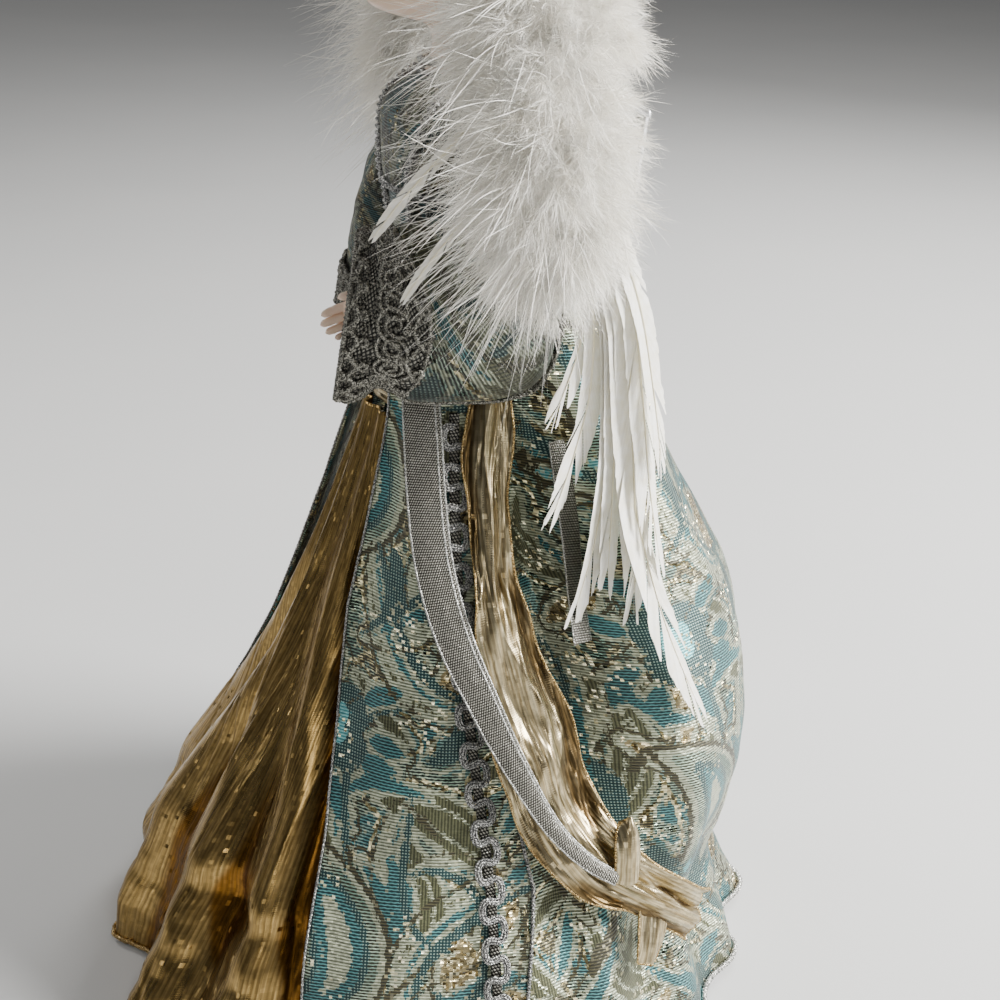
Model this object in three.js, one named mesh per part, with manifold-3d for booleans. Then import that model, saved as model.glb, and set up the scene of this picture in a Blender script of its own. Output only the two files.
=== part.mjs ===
// Angel figurine: a robed doll on a hollow card cone, with posable wire arms
// in bell sleeves and two feather wings that swing on wire posts.
// Millimetres, +Z up. The figure faces -Y, so its left side is +X.
import * as THREE from 'three';
import { mergeVertices } from 'three/addons/utils/BufferGeometryUtils.js';
import Module from 'manifold-3d';

const wasm = await Module();
wasm.setup();

// ---------------------------------------------------------------- dimensions
const FRAME_SHIFT_Y = 0.98;        // puts the origin under the middle of the bounding box
const AXIS_Y = 6;                  // figure's own axis, behind the middle of the hem

const RIM = { rIn: 73, rOut: 82, h: 3 };
const CONE = { z0: 3.3, z1: 192, r0: 80, r1: 21, wall: 2.2 };
const PLUG = { z0: 176, z1: 191, gap: 0.5, bore: 3.4 };
const DOWEL = { r: 3, z0: 170, z1: 317 };

const TORSO_PROFILE = [[0, 192.4], [19, 192.4], [19.5, 205], [20.5, 220], [23, 245], [25, 262], [25.5, 272], [23, 282], [15, 289], [8, 291.5], [0, 291.5]];
const TORSO_DEPTH = 0.95;          // front-to-back over side-to-side
const BODICE = { z0: 211, z1: 268, gap: 0.6, wall: 1.3 };
const SASH = { z0: 198.6, z1: 209.6, rIn: 22.4, rOut: 29.5 };

const CROSSBAR = { r: 1.5, half: 38.5, z: 276 };
const ARM_EYE = { x0: 31.9, x1: 34.6, rIn: 1.85, rOut: 3.5 };
const STOP_BEAD = { x0: 35.2, x1: 38.2, rIn: 1.8, rOut: 3.2 };
const ARM_WIRE_R = 1.3;

const HEAD_PROFILE = [[0, 268], [27.6, 268], [27.6, 281.5], [26.6, 285], [22, 290.5], [15, 294.5], [10.6, 298], [9.3, 303], [9.6, 309], [13, 313], [20.5, 320], [25.5, 331], [27.2, 345], [25.8, 360], [20, 371], [10, 377.4], [0, 379]];
const PLATE_HOLLOW = [[0, 255], [40, 255], [40, 281], [25, 281], [23.8, 283.2], [15.7, 290], [8.4, 292.3], [0, 292.3]];
const YOKE_PROFILE = [[15.4, 295.4], [22.7, 291.4], [27.5, 285.8], [28.4, 282.4], [30.2, 282.4], [29.2, 286.8], [23.6, 292.8], [15.9, 296.9]];
const COLLAR = { r: 12.3, tube: 1.25, z: 300.4 };

const PANEL_T = 1.3;               // cloth panels as plain thin solids
const HEM_Z = 1.6;
const PANEL_TOP = 197.4;
const COAT_TOP = 205;
const COAT_OUT = 4.2;              // coat panels lie outside the skirt surface
const HEM_CORD_R = 1.1;

const POST = { x: 10, y: 44.6, r: 1.5, z0: 261, z1: 291 };
// Each wing's down is one lobe over the shoulder and one that hangs outside the sleeve.
// The right wing, given here as its mirror image, is swept a little further back.
const WINGS = {
  left: {
    upper: { x: 57, y: 6, z: 316, rx: 19, ry: 22, rz: 27.5 },
    outer: { x: 71, y: 4, z: 283, rx: 11, ry: 19, rz: 41 },
    tip: [58, 18, 306],
  },
  right: {
    upper: { x: 57, y: 20, z: 318, rx: 19, ry: 20, rz: 27 },
    outer: { x: 69, y: 20, z: 292, rx: 11, ry: 17, rz: 34 },
    tip: [58, 27, 306],
  },
};
const WING_BEND = [40, 45, 290], PLUME_TIP = [56.5, 32.2, 251];

// Skirt radius about the vertical through the hem's middle, [z, radius].
const FRONT = [[0, 108], [5, 107], [12, 105.5], [30, 99], [49, 94], [70, 80], [90, 67.5], [115, 54], [137, 45], [165, 34], [198, 23], [210, 22]];
const SIDE = [[0, 106], [20, 101], [49, 90], [70, 80], [90, 71], [115, 61], [137, 53], [165, 43], [198, 30], [215, 28], [285, 28]];
const BACK = [[0, 106], [8, 104.5], [25, 98], [41, 95], [57, 94.5], [80, 98.5], [106, 101], [120, 98.5], [137, 94], [171, 76], [204, 61], [240, 45], [262, 36], [275, 31], [285, 29]];
// Coat panel edges and ribbon paths as bearings from the front, in degrees.
const COAT_FRONT_EDGE = [[0, 48], [37, 47], [82, 44.5], [111, 40], [144, 34], [200, 36]];
const COAT_REAR_EDGE = [[0, 86], [39, 86.5], [71, 90], [106, 87], [141, 84], [169, 84], [203, 86]];
const BRAID_MIDDLE = [[0, 81], [47, 81.1], [70, 81.2], [89, 80.5], [109, 79], [128, 77.7], [148, 76.8], [165, 76], [182, 75.8], [204, 76.4]];
// bearing, height, stand-off from the skirt surface, width
const SILVER_RIBBON = [[61, 205, 9, 11], [64.4, 184, 9, 11], [68.2, 164, 9.2, 11], [74, 146, 9.2, 11], [80.5, 129.5, 9.2, 10], [87, 110, 9.2, 8], [93.2, 92.5, 8.8, 6], [102, 76, 8, 5], [112, 65, 7.5, 5]];
const GOLD_RIBBON = [[95, 205, 9.5, 15], [89, 184, 11.5, 18], [88, 164, 12, 18], [91, 145.5, 12, 19], [95, 126.5, 12, 18], [101, 97, 12, 17], [104.7, 78, 12, 17], [112, 65, 13, 19], [120.5, 50, 13, 22]];
const LONG_FEATHERS = [[62, 35, 248, 18, 4], [60, 36.5, 228, 24, 4], [60, 38.5, 205, 22, 4], [66, 43, 165, 16, 3], [80, 54, 122, 8, 1.6]];

// ---------------------------------------------------------------- helpers
const V = (x, y, z) => new THREE.Vector3(x, y, z);

function tidy(geometry) {
  const g = geometry.clone();
  for (const name of Object.keys(g.attributes)) if (name !== 'position') g.deleteAttribute(name);
  const m = mergeVertices(g, 1e-4);
  const idx = m.index.array, kept = [];
  for (let i = 0; i < idx.length; i += 3) {
    const [a, b, c] = [idx[i], idx[i + 1], idx[i + 2]];
    if (a !== b && b !== c && c !== a) kept.push(a, b, c);
  }
  m.setIndex(kept);
  return outward(m);
}

function outward(g) {
  const p = g.attributes.position, idx = g.index.array;
  let volume = 0;
  const a = V(), b = V(), c = V();
  for (let i = 0; i < idx.length; i += 3) {
    a.fromBufferAttribute(p, idx[i]); b.fromBufferAttribute(p, idx[i + 1]); c.fromBufferAttribute(p, idx[i + 2]);
    volume += a.dot(b.clone().cross(c));
  }
  if (volume < 0) {
    const flipped = [];
    for (let i = 0; i < idx.length; i += 3) flipped.push(idx[i], idx[i + 2], idx[i + 1]);
    g.setIndex(flipped);
  }
  g.computeVertexNormals();
  return g;
}

function solid(geometry) {
  const g = tidy(geometry);
  return new wasm.Manifold(new wasm.Mesh({
    numProp: 3,
    vertProperties: new Float32Array(g.attributes.position.array),
    triVerts: new Uint32Array(g.index.array),
  }));
}

function geometryOf(manifold) {
  const mesh = manifold.getMesh(), n = mesh.numProp, count = mesh.vertProperties.length / n;
  const xyz = new Float32Array(count * 3);
  for (let i = 0; i < count; i++) for (let k = 0; k < 3; k++) xyz[i * 3 + k] = mesh.vertProperties[i * n + k];
  const g = new THREE.BufferGeometry();
  g.setAttribute('position', new THREE.BufferAttribute(xyz, 3));
  g.setIndex(Array.from(mesh.triVerts));
  return tidy(g);
}

function mirrored(geometry) {
  const g = geometry.clone();
  g.scale(-1, 1, 1);
  return outward(g);
}

// Profile of [radius, z] turned about the vertical through (0, y).
function turned(profile, segments = 40, y = AXIS_Y, depth = 1) {
  const g = new THREE.LatheGeometry(profile.map(([r, z]) => new THREE.Vector2(r, z)), segments);
  g.rotateX(Math.PI / 2);
  g.scale(1, depth, 1);
  g.translate(0, y, 0);
  return tidy(g);
}
const ring = (rIn, rOut, z0, z1, segments, y, depth) =>
  turned([[rIn, z0], [rOut, z0], [rOut, z1], [rIn, z1], [rIn, z0]], segments, y, depth);

function rod(from, to, r0, r1 = r0, segments = 16) {
  const d = to.clone().sub(from), g = new THREE.CylinderGeometry(r1, r0, d.length(), segments);
  g.applyQuaternion(new THREE.Quaternion().setFromUnitVectors(V(0, 1, 0), d.normalize()));
  const mid = from.clone().add(to).multiplyScalar(0.5);
  g.translate(mid.x, mid.y, mid.z);
  return tidy(g);
}

function ellipsoid(c, rx, ry, rz, w = 20, h = 14) {
  const g = new THREE.SphereGeometry(1, w, h);
  g.rotateX(Math.PI / 2);
  g.scale(rx, ry, rz);
  g.translate(c.x, c.y, c.z);
  return tidy(g);
}

// Ring around an axis parallel to X.
function sideRing(x0, x1, rIn, rOut, y, z, segments = 20) {
  const g = new THREE.LatheGeometry([[rIn, x0], [rOut, x0], [rOut, x1], [rIn, x1], [rIn, x0]].map(([r, x]) => new THREE.Vector2(r, x)), segments);
  g.rotateZ(-Math.PI / 2);
  g.translate(0, y, z);
  return tidy(g);
}

// Thin closed solid behind a surface point(u, v), u and v from 0 to 1.
// wrap joins u = 1 to u = 0, which makes an open-ended tube.
function sheet(point, nu, nv, thickness, wrap = false) {
  const e = 1e-3, outer = [], inner = [], cols = wrap ? nu : nu + 1;
  for (let j = 0; j <= nv; j++) for (let i = 0; i < cols; i++) {
    const u = i / nu, v = j / nv;
    const u0 = wrap ? u - e : Math.max(0, u - e), u1 = wrap ? u + e : Math.min(1, u + e);
    const v0 = Math.max(0, v - e), v1 = Math.min(1, v + e);
    const du = point(u1, v).sub(point(u0, v)), dv = point(u, v1).sub(point(u, v0));
    const n = du.cross(dv).normalize(), p = point(u, v);
    const t = typeof thickness === 'function' ? thickness(u, v) : thickness;
    outer.push(p);
    inner.push(p.clone().addScaledVector(n, -t));
  }
  const all = [...outer, ...inner], base = outer.length, tri = [];
  const at = (i, j) => j * cols + (i % cols);
  const quad = (a, b, c, d) => tri.push(a, b, c, a, c, d);
  for (let j = 0; j < nv; j++) for (let i = 0; i < nu; i++) {
    const a = at(i, j), b = at(i + 1, j), c = at(i + 1, j + 1), d = at(i, j + 1);
    quad(a, b, c, d);
    quad(base + a, base + d, base + c, base + b);
  }
  for (let i = 0; i < nu; i++) {
    quad(at(i, 0), base + at(i, 0), base + at(i + 1, 0), at(i + 1, 0));
    quad(at(i + 1, nv), base + at(i + 1, nv), base + at(i, nv), at(i, nv));
  }
  if (!wrap) for (let j = 0; j < nv; j++) {
    quad(at(0, j + 1), base + at(0, j + 1), base + at(0, j), at(0, j));
    quad(at(nu, j), base + at(nu, j), base + at(nu, j + 1), at(nu, j + 1));
  }
  const g = new THREE.BufferGeometry();
  g.setAttribute('position', new THREE.BufferAttribute(new Float32Array(all.flatMap((p) => [p.x, p.y, p.z])), 3));
  g.setIndex(tri);
  return tidy(g);
}

function table(rows, x) {
  if (x <= rows[0][0]) return rows[0][1];
  for (let i = 1; i < rows.length; i++) {
    const [x0, y0] = rows[i - 1], [x1, y1] = rows[i];
    if (x <= x1) return y0 + (y1 - y0) * (x - x0) / (x1 - x0);
  }
  return rows[rows.length - 1][1];
}
const smooth = (a, b, x) => { const t = Math.min(1, Math.max(0, (x - a) / (b - a))); return t * t * (3 - 2 * t); };
const rad = THREE.MathUtils.degToRad;

function skirtRadius(deg, z) {
  const a = Math.abs(deg), k1 = smooth(35, 75, a), k2 = smooth(92, 140, a);
  return (table(FRONT, z) * (1 - k1) + table(SIDE, z) * k1) * (1 - k2) + table(BACK, z) * k2;
}
function onSkirt(deg, z, off = 0) {
  const r = skirtRadius(deg > 180 ? deg - 360 : deg, z) + off;
  return V(r * Math.sin(rad(deg)), -r * Math.cos(rad(deg)), z);
}

// Smooth curve through rows of numbers, sampled at t from 0 to 1.
function along(rows, t) {
  const f = t * (rows.length - 1), i = Math.min(rows.length - 2, Math.floor(f)), w = f - i;
  const at = (k) => rows[Math.min(rows.length - 1, Math.max(0, k))];
  return rows[i].map((_, k) => {
    const a = at(i - 1)[k], b = at(i)[k], c = at(i + 1)[k], d = at(i + 2)[k];
    return 0.5 * (2 * b + (c - a) * w + (2 * a - 5 * b + 4 * c - d) * w * w + (3 * b - a - 3 * c + d) * w * w * w);
  });
}

function ribbonOnSkirt(rows, steps) {
  return sheet((u, v) => {
    const [deg, z, off, width] = along(rows, v);
    const [d1, z1, o1] = along(rows, Math.min(1, v + 0.01)), [d0, z0, o0] = along(rows, Math.max(0, v - 0.01));
    const c = onSkirt(deg, z, off), t = onSkirt(d1, z1, o1).sub(onSkirt(d0, z0, o0)).normalize();
    const n = V(Math.sin(rad(deg)), -Math.cos(rad(deg)), 0.25).normalize();
    const side = n.clone().cross(t).normalize();
    return c.addScaledVector(side, (u - 0.5) * width);
  }, 1, steps, 0.8);
}

function cordThrough(points, r, steps) {
  const outline = new THREE.Shape();
  outline.absarc(0, 0, r, 0, Math.PI * 2, false);
  const g = new THREE.ExtrudeGeometry(outline, { steps, curveSegments: 4, bevelEnabled: false, extrudePath: new THREE.CatmullRomCurve3(points) });
  return tidy(g);
}

const figure = new THREE.Group();
const palette = {
  card: [0xb99f76, 0.9, 0], wood: [0xc9a878, 0.7, 0], cloth_form: [0xe9e2d4, 0.95, 0], brocade: [0x6f938d, 0.6, 0.15],
  gold: [0x9c8148, 0.32, 0.75], silver: [0x9b9a94, 0.4, 0.7], porcelain: [0xf0d9c6, 0.45, 0], hair: [0x5d3a23, 0.6, 0],
  down: [0xf3f2ec, 0.95, 0], quill: [0xefece0, 0.7, 0], steel: [0xa9abad, 0.35, 0.95],
};
function add(name, geometry, finish) {
  const [color, roughness, metalness] = palette[finish];
  const mesh = new THREE.Mesh(geometry, new THREE.MeshStandardMaterial({ color, roughness, metalness }));
  mesh.name = name;
  figure.add(mesh);
}

// ---------------------------------------------------------------- base and core
const coneOuter = (z) => CONE.r0 + (CONE.r1 - CONE.r0) * (z - CONE.z0) / (CONE.z1 - CONE.z0);
add('base_rim', ring(RIM.rIn, RIM.rOut, 0, RIM.h, 40), 'card');
add('base_cone', turned([
  [CONE.r0, CONE.z0], [CONE.r1, CONE.z1], [CONE.r1 - CONE.wall, CONE.z1], [CONE.r0 - CONE.wall, CONE.z0], [CONE.r0, CONE.z0],
], 40), 'card');
const plugR = (z) => coneOuter(z) - CONE.wall - PLUG.gap;
add('cone_plug', turned([
  [PLUG.bore, PLUG.z0], [plugR(PLUG.z0), PLUG.z0], [plugR(PLUG.z1), PLUG.z1], [PLUG.bore, PLUG.z1], [PLUG.bore, PLUG.z0],
], 20), 'wood');
add('centre_dowel', rod(V(0, AXIS_Y, DOWEL.z0), V(0, AXIS_Y, DOWEL.z1), DOWEL.r, DOWEL.r, 14), 'wood');

const torso = solid(turned(TORSO_PROFILE, 20, AXIS_Y, TORSO_DEPTH))
  .subtract(solid(rod(V(0, AXIS_Y, 180), V(0, AXIS_Y, 300), DOWEL.r + 0.45, DOWEL.r + 0.45, 14)))
  .subtract(solid(rod(V(-50, AXIS_Y, CROSSBAR.z), V(-4.2, AXIS_Y, CROSSBAR.z), CROSSBAR.r + 0.35)))
  .subtract(solid(rod(V(4.2, AXIS_Y, CROSSBAR.z), V(50, AXIS_Y, CROSSBAR.z), CROSSBAR.r + 0.35)));
add('torso_form', geometryOf(torso), 'cloth_form');

const torsoR = (z) => table(TORSO_PROFILE.slice(1, 8).map(([r, h]) => [h, r]), z);
const bodiceZ = [BODICE.z0, 230, 248, BODICE.z1];
add('bodice', turned([
  ...bodiceZ.map((z) => [torsoR(z) + BODICE.gap + BODICE.wall, z]),
  ...bodiceZ.slice().reverse().map((z) => [torsoR(z) + BODICE.gap, z]),
  [torsoR(bodiceZ[0]) + BODICE.gap + BODICE.wall, bodiceZ[0]],
], 20, AXIS_Y, TORSO_DEPTH), 'brocade');
add('waist_sash', turned([
  [SASH.rIn, SASH.z0], [SASH.rOut - 1, SASH.z0], [SASH.rOut, (SASH.z0 + SASH.z1) / 2], [SASH.rOut - 2, SASH.z1], [SASH.rIn, SASH.z1], [SASH.rIn, SASH.z0],
], 24, AXIS_Y, TORSO_DEPTH), 'gold');

// ---------------------------------------------------------------- head, yoke, collar, hair
// Each shoulder wire stops short of the dowel in its own half of the form.
for (const [side, s] of [['left', 1], ['right', -1]]) {
  const bar = rod(V(5, AXIS_Y, CROSSBAR.z), V(CROSSBAR.half, AXIS_Y, CROSSBAR.z), CROSSBAR.r, CROSSBAR.r, 14);
  add(`shoulder_wire_${side}`, s > 0 ? bar : mirrored(bar), 'steel');
  const bead = sideRing(STOP_BEAD.x0, STOP_BEAD.x1, STOP_BEAD.rIn, STOP_BEAD.rOut, AXIS_Y, CROSSBAR.z, 16);
  add(`stop_bead_${side}`, s > 0 ? bead : mirrored(bead), 'wood');
}
const headOuter = solid(turned(HEAD_PROFILE, 20));
const head = headOuter
  .subtract(solid(turned(PLATE_HOLLOW, 20)))
  .subtract(solid(rod(V(0, AXIS_Y, 270), V(0, AXIS_Y, DOWEL.z1 + 1), DOWEL.r + 0.45, DOWEL.r + 0.45, 14)));
add('head_shoulder_plate', geometryOf(head), 'porcelain');
add('robe_yoke', turned([...YOKE_PROFILE, YOKE_PROFILE[0]], 20), 'brocade');
const collar = new THREE.TorusGeometry(COLLAR.r, COLLAR.tube, 6, 20);
collar.translate(0, AXIS_Y, COLLAR.z);
add('collar_cord', tidy(collar), 'silver');

const fatHead = solid(turned(HEAD_PROFILE.slice(8).map(([r, z], i, a) => [r + (i === a.length - 1 ? 0 : 0.6), z + (i > 4 ? 0.6 : 0)]).reduce((rows, row, i) => (i === 0 ? [[0, row[1]], row] : [...rows, row]), []), 32));
const wig = solid(ellipsoid(V(0, AXIS_Y + 3, 351), 31.5, 32.5, 36.5, 16, 11))
  .add(solid(ellipsoid(V(0, AXIS_Y + 19, 326), 28, 15, 27, 14, 9)))
  .subtract(fatHead)
  .subtract(solid(new THREE.BoxGeometry(46, 60, 74).translate(0, AXIS_Y - 42, 327)))
  .subtract(solid(new THREE.BoxGeometry(90, 60, 40).translate(0, AXIS_Y - 32, 310)))
  .subtract(solid(rod(V(0, AXIS_Y, 290), V(0, AXIS_Y, 322), 13.5, 16, 16)));
add('wig', geometryOf(wig), 'hair');

// ---------------------------------------------------------------- robe panels
const capeTop = (deg) => { const a = Math.abs(deg > 180 ? deg - 360 : deg); return 196 + smooth(118, 152, a) * 75; };
add('back_cape', sheet((u, v) => {
  const deg = 78 + u * 204;
  return onSkirt(deg, HEM_Z + v * (capeTop(deg) - HEM_Z));
}, 24, 9, PANEL_T), 'brocade');
add('gold_front_panel', sheet((u, v) => onSkirt(-50 + u * 100, HEM_Z + v * (PANEL_TOP - HEM_Z)), 12, 9, PANEL_T), 'gold');

const coat = sheet((u, v) => {
  const z = HEM_Z + v * (COAT_TOP - HEM_Z), a = table(COAT_FRONT_EDGE, z), b = table(COAT_REAR_EDGE, z);
  return onSkirt(a + u * (b - a), z, COAT_OUT);
}, 6, 9, PANEL_T);
const braid = sheet((u, v) => {
  const z = 4 + v * (COAT_TOP - 5), r = skirtRadius(80, z) + COAT_OUT, middle = table(BRAID_MIDDLE, z);
  const mm = 180 / Math.PI / r;
  return onSkirt(middle + (u - 0.5) * 8 * mm, z, COAT_OUT + 2.5);
}, 1, 12, 1);
for (const [side, s] of [['left', 1], ['right', -1]]) {
  add(`coat_panel_${side}`, s > 0 ? coat : mirrored(coat), 'brocade');
  add(`gimp_braid_${side}`, s > 0 ? braid : mirrored(braid), 'silver');
}

const hemPoints = (a, b, n, off) => Array.from({ length: n + 1 }, (_, i) => onSkirt(a + (b - a) * i / n, 3.4, off));
add('hem_cord_back', cordThrough(hemPoints(91, 269, 24, 1.8), HEM_CORD_R, 26), 'silver');
add('hem_cord_front', cordThrough(hemPoints(-45, 45, 12, 1.8), HEM_CORD_R, 12), 'gold');

// ---------------------------------------------------------------- ribbon streamers
add('silver_ribbon', ribbonOnSkirt(SILVER_RIBBON, 16), 'silver');
add('gold_ribbon', ribbonOnSkirt(GOLD_RIBBON, 16), 'gold');

// ---------------------------------------------------------------- arms
// The left arm reaches forward and the right one, given here as its mirror image, hangs at the
// side. Sleeve cross-sections: middle, and two half-axes.
const ARMS = {
  left: {
    sleeve: [
      [[32.4, 6, 272.5], [0.8, 0, 13], [0, 14, 0]],
      [[39, 5, 266], [9, 1.5, 7], [0, 18, -1]],
      [[42.5, 1, 253], [13, 0, 1.5], [0, 20.5, -12]],
      [[41.5, -6.5, 239], [14, -1.5, -1], [0, 20.5, -25]],
      [[37.5, -23, 236.5], [13.5, -3, 0], [0, 7, -25]],
      [[31.5, -39.5, 237], [13, -4.5, 0], [0, -3.5, -21.5]],
    ],
    elbow: [40, 0.5, 250], wireTip: [37.2, -10.5, 240.8],
    forearm: [[39, -4, 246], [26, -33, 235]],
    hand: { at: [24, -37.5, 234], size: [3.4, 9, 6], turn: [0.2, 0, -0.35] },
  },
  right: {
    sleeve: [
      [[32.4, 6, 272.5], [0.8, 0, 13], [0, 14, 0]],
      [[39, 6, 265.5], [9, 0, 7], [0, 17, 0]],
      [[45, 6, 252], [11.6, 0, 4.4], [0, 18, 0]],
      [[50, 4.8, 238], [12, 0, 4.5], [0, 17.5, 0]],
      [[54, 3.6, 224], [12, 0, 5], [0, 17.5, 0]],
      [[57.5, 2.4, 210], [11.8, 0, 5.4], [0, 17.5, 0]],
    ],
    elbow: [44.5, 6, 252], wireTip: [47.4, 5.2, 241],
    forearm: [[45.6, 5.8, 248], [54, 2.8, 214]],
    hand: { at: [55.8, 2.2, 206], size: [3.4, 6, 9], turn: [0, -0.24, 0] },
  },
};
const SHOULDER = V((ARM_EYE.x0 + ARM_EYE.x1) / 2, AXIS_Y, CROSSBAR.z);

function armPieces({ sleeve, elbow, wireTip, forearm, hand }) {
  const rows = sleeve.map(([c, a, b]) => [...c, ...a, ...b]);
  const sleevePoint = (u, v, grow) => {
    const [cx, cy, cz, ax, ay, az, bx, by, bz] = along(rows, v);
    const w = -u * Math.PI * 2, a = V(ax, ay, az), b = V(bx, by, bz);
    a.multiplyScalar(1 + grow / a.length());
    b.multiplyScalar(1 + grow / b.length());
    return V(cx, cy, cz).addScaledVector(a, Math.cos(w)).addScaledVector(b, Math.sin(w));
  };
  const bend = V(...elbow), tip = V(...wireTip), past = tip.clone().sub(bend).normalize();
  const wire = solid(sideRing(ARM_EYE.x0, ARM_EYE.x1, ARM_EYE.rIn, ARM_EYE.rOut, AXIS_Y, CROSSBAR.z, 20))
    .add(solid(rod(V(SHOULDER.x, SHOULDER.y - 0.6, SHOULDER.z - 2.7), bend, ARM_WIRE_R, ARM_WIRE_R, 8)))
    .add(solid(ellipsoid(bend, 1.5, 1.5, 1.5, 10, 8)))
    .add(solid(rod(bend, tip, ARM_WIRE_R, ARM_WIRE_R, 8)));
  const palm = ellipsoid(V(0, 0, 0), ...hand.size, 10, 8);
  palm.applyMatrix4(new THREE.Matrix4().makeRotationFromEuler(new THREE.Euler(...hand.turn)));
  palm.translate(...hand.at);
  const bore = rod(bend.clone().addScaledVector(past, -3), tip.clone().addScaledVector(past, 0.6), ARM_WIRE_R + 0.4, ARM_WIRE_R + 0.4, 8);
  const hollow = rod(V(SHOULDER.x, SHOULDER.y - 0.6, SHOULDER.z - 2.7), bend, ARM_WIRE_R + 0.4, ARM_WIRE_R + 0.4, 8);
  const lower = solid(rod(V(...forearm[0]), V(...forearm[1]), 6.2, 4, 12)).add(solid(tidy(palm)))
    .subtract(solid(bore)).subtract(solid(hollow)).subtract(solid(ellipsoid(bend, 2, 2, 2, 10, 8)));
  return [
    ['arm_wire', geometryOf(wire), 'steel'],
    ['forearm_hand', geometryOf(lower), 'porcelain'],
    ['bell_sleeve', sheet((u, v) => sleevePoint(u, v, 0), 16, 9, 1.2, true), 'brocade'],
    ['sleeve_lace', sheet((u, v) => sleevePoint(u, (2 + v) / 3, 2.1), 16, 3, 1.2, true), 'silver'],
  ];
}

// ---------------------------------------------------------------- wings
const plate = new THREE.Shape([[37, 261], [40.2, 261], [40.2, 290], [36.9, 290]].map(([y, z]) => new THREE.Vector2(y, z)));
const plateBody = new THREE.ExtrudeGeometry(plate, { depth: 30, bevelEnabled: false });
// shape x is the figure's y and shape y is its z, pushed out along x
plateBody.applyMatrix4(new THREE.Matrix4().set(0, 0, 1, -15, 1, 0, 0, 0, 0, 1, 0, 0, 0, 0, 0, 1));
let wingPlate = solid(plateBody);
for (const x of [POST.x, -POST.x]) for (const z of [264.5, 287]) {
  wingPlate = wingPlate.add(solid(new THREE.BoxGeometry(8, 10.4, 3).translate(x, POST.y - 1.2, z)));
}
for (const x of [POST.x, -POST.x]) wingPlate = wingPlate.subtract(solid(rod(V(x, POST.y, 250), V(x, POST.y, 300), POST.r + 0.3, POST.r + 0.3, 14)));
add('wing_plate', geometryOf(wingPlate), 'wood');

const eyeMid = V(POST.x, POST.y, 276);
const lobe = (d, w, h) => solid(ellipsoid(V(d.x, d.y, d.z), d.rx, d.ry, d.rz, w, h));

function wingPieces({ upper, outer, tip: tipAt }) {
  const bend = V(...WING_BEND), tip = V(...tipAt), plumeTip = V(...PLUME_TIP);
  const eye = ring(POST.r + 0.3, 3.6, 268, 284, 18, 0).translate(POST.x, POST.y, 0);
  const wire = solid(tidy(eye))
    .add(solid(rod(eyeMid.clone().add(V(2.9, 0, 0)), bend, 1.3, 1.3, 8)))
    .add(solid(ellipsoid(bend, 1.5, 1.5, 1.5, 10, 8)))
    .add(solid(rod(bend, tip, 1.3, 1.3, 8)))
    .add(solid(rod(bend, plumeTip, 1, 1, 8)));
  const down = lobe(upper, 12, 8).add(lobe(outer, 12, 9))
    .subtract(solid(rod(bend, tip.clone().add(tip.clone().sub(bend).normalize().multiplyScalar(0.6)), 1.8, 1.8, 8)));
  const plumes = sheet((u, v) => {
    const [x, y, z, width] = along(LONG_FEATHERS, v), out = V(x, y, 0).normalize();
    const side = V(-out.y, out.x, 0), arch = (1 - (2 * u - 1) ** 2) * width * 0.06;
    return V(x, y, z).addScaledVector(side, (0.5 - u) * width).addScaledVector(out, arch);
  }, 3, 6, (u, v) => along(LONG_FEATHERS, v)[4]);
  return [
    ['wing_wire', geometryOf(wire), 'steel'],
    ['wing_down', geometryOf(down), 'down'],
    ['wing_plumes', plumes, 'quill'],
  ];
}
for (const [side, s] of [['left', 1], ['right', -1]]) {
  const post = rod(V(s * POST.x, POST.y, POST.z0), V(s * POST.x, POST.y, POST.z1), POST.r, POST.r, 14);
  add(`wing_post_${side}`, post, 'steel');
  for (const [name, geometry, finish] of [...armPieces(ARMS[side]), ...wingPieces(WINGS[side])]) {
    add(`${name}_${side}`, s > 0 ? geometry : mirrored(geometry), finish);
  }
}

figure.position.set(0, FRAME_SHIFT_Y, 0);
figure.updateMatrixWorld(true);
export default figure;
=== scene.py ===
"""Looks of the angel figurine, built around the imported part.

Lengths below are millimetres in the figure's own frame (+Z up, facing -Y, left side +X);
make() turns them into metres in the part's frame.
"""
import math

import bpy
import numpy as np
from mathutils import Matrix, Vector


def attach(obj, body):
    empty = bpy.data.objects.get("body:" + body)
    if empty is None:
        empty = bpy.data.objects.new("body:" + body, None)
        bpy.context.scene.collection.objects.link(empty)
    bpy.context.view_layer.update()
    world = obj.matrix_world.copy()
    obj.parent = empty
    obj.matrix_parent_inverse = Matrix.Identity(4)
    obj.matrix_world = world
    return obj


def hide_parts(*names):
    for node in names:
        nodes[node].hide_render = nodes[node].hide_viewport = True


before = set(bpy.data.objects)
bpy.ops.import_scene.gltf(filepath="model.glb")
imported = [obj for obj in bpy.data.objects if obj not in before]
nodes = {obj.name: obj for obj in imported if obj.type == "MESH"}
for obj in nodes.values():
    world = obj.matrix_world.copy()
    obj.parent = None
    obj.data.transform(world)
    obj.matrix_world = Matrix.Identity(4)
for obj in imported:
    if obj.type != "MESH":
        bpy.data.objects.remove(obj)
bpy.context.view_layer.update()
scene = bpy.context.scene

SHIFT = np.array([0.0, 0.98, 0.0])      # figure frame to part frame
AXIS_Y = 6.0
TAU = 2 * math.pi


# ------------------------------------------------------------------ numbers
def unit(v):
    v = np.asarray(v, float)
    return v / np.maximum(np.linalg.norm(v, axis=-1, keepdims=True), 1e-9)


def smooth(a, b, x):
    t = np.clip((np.asarray(x, float) - a) / (b - a), 0, 1)
    return t * t * (3 - 2 * t)


def bump(x, middle, width):
    return np.exp(-(((np.asarray(x, float) - middle) / width) ** 2))


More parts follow.
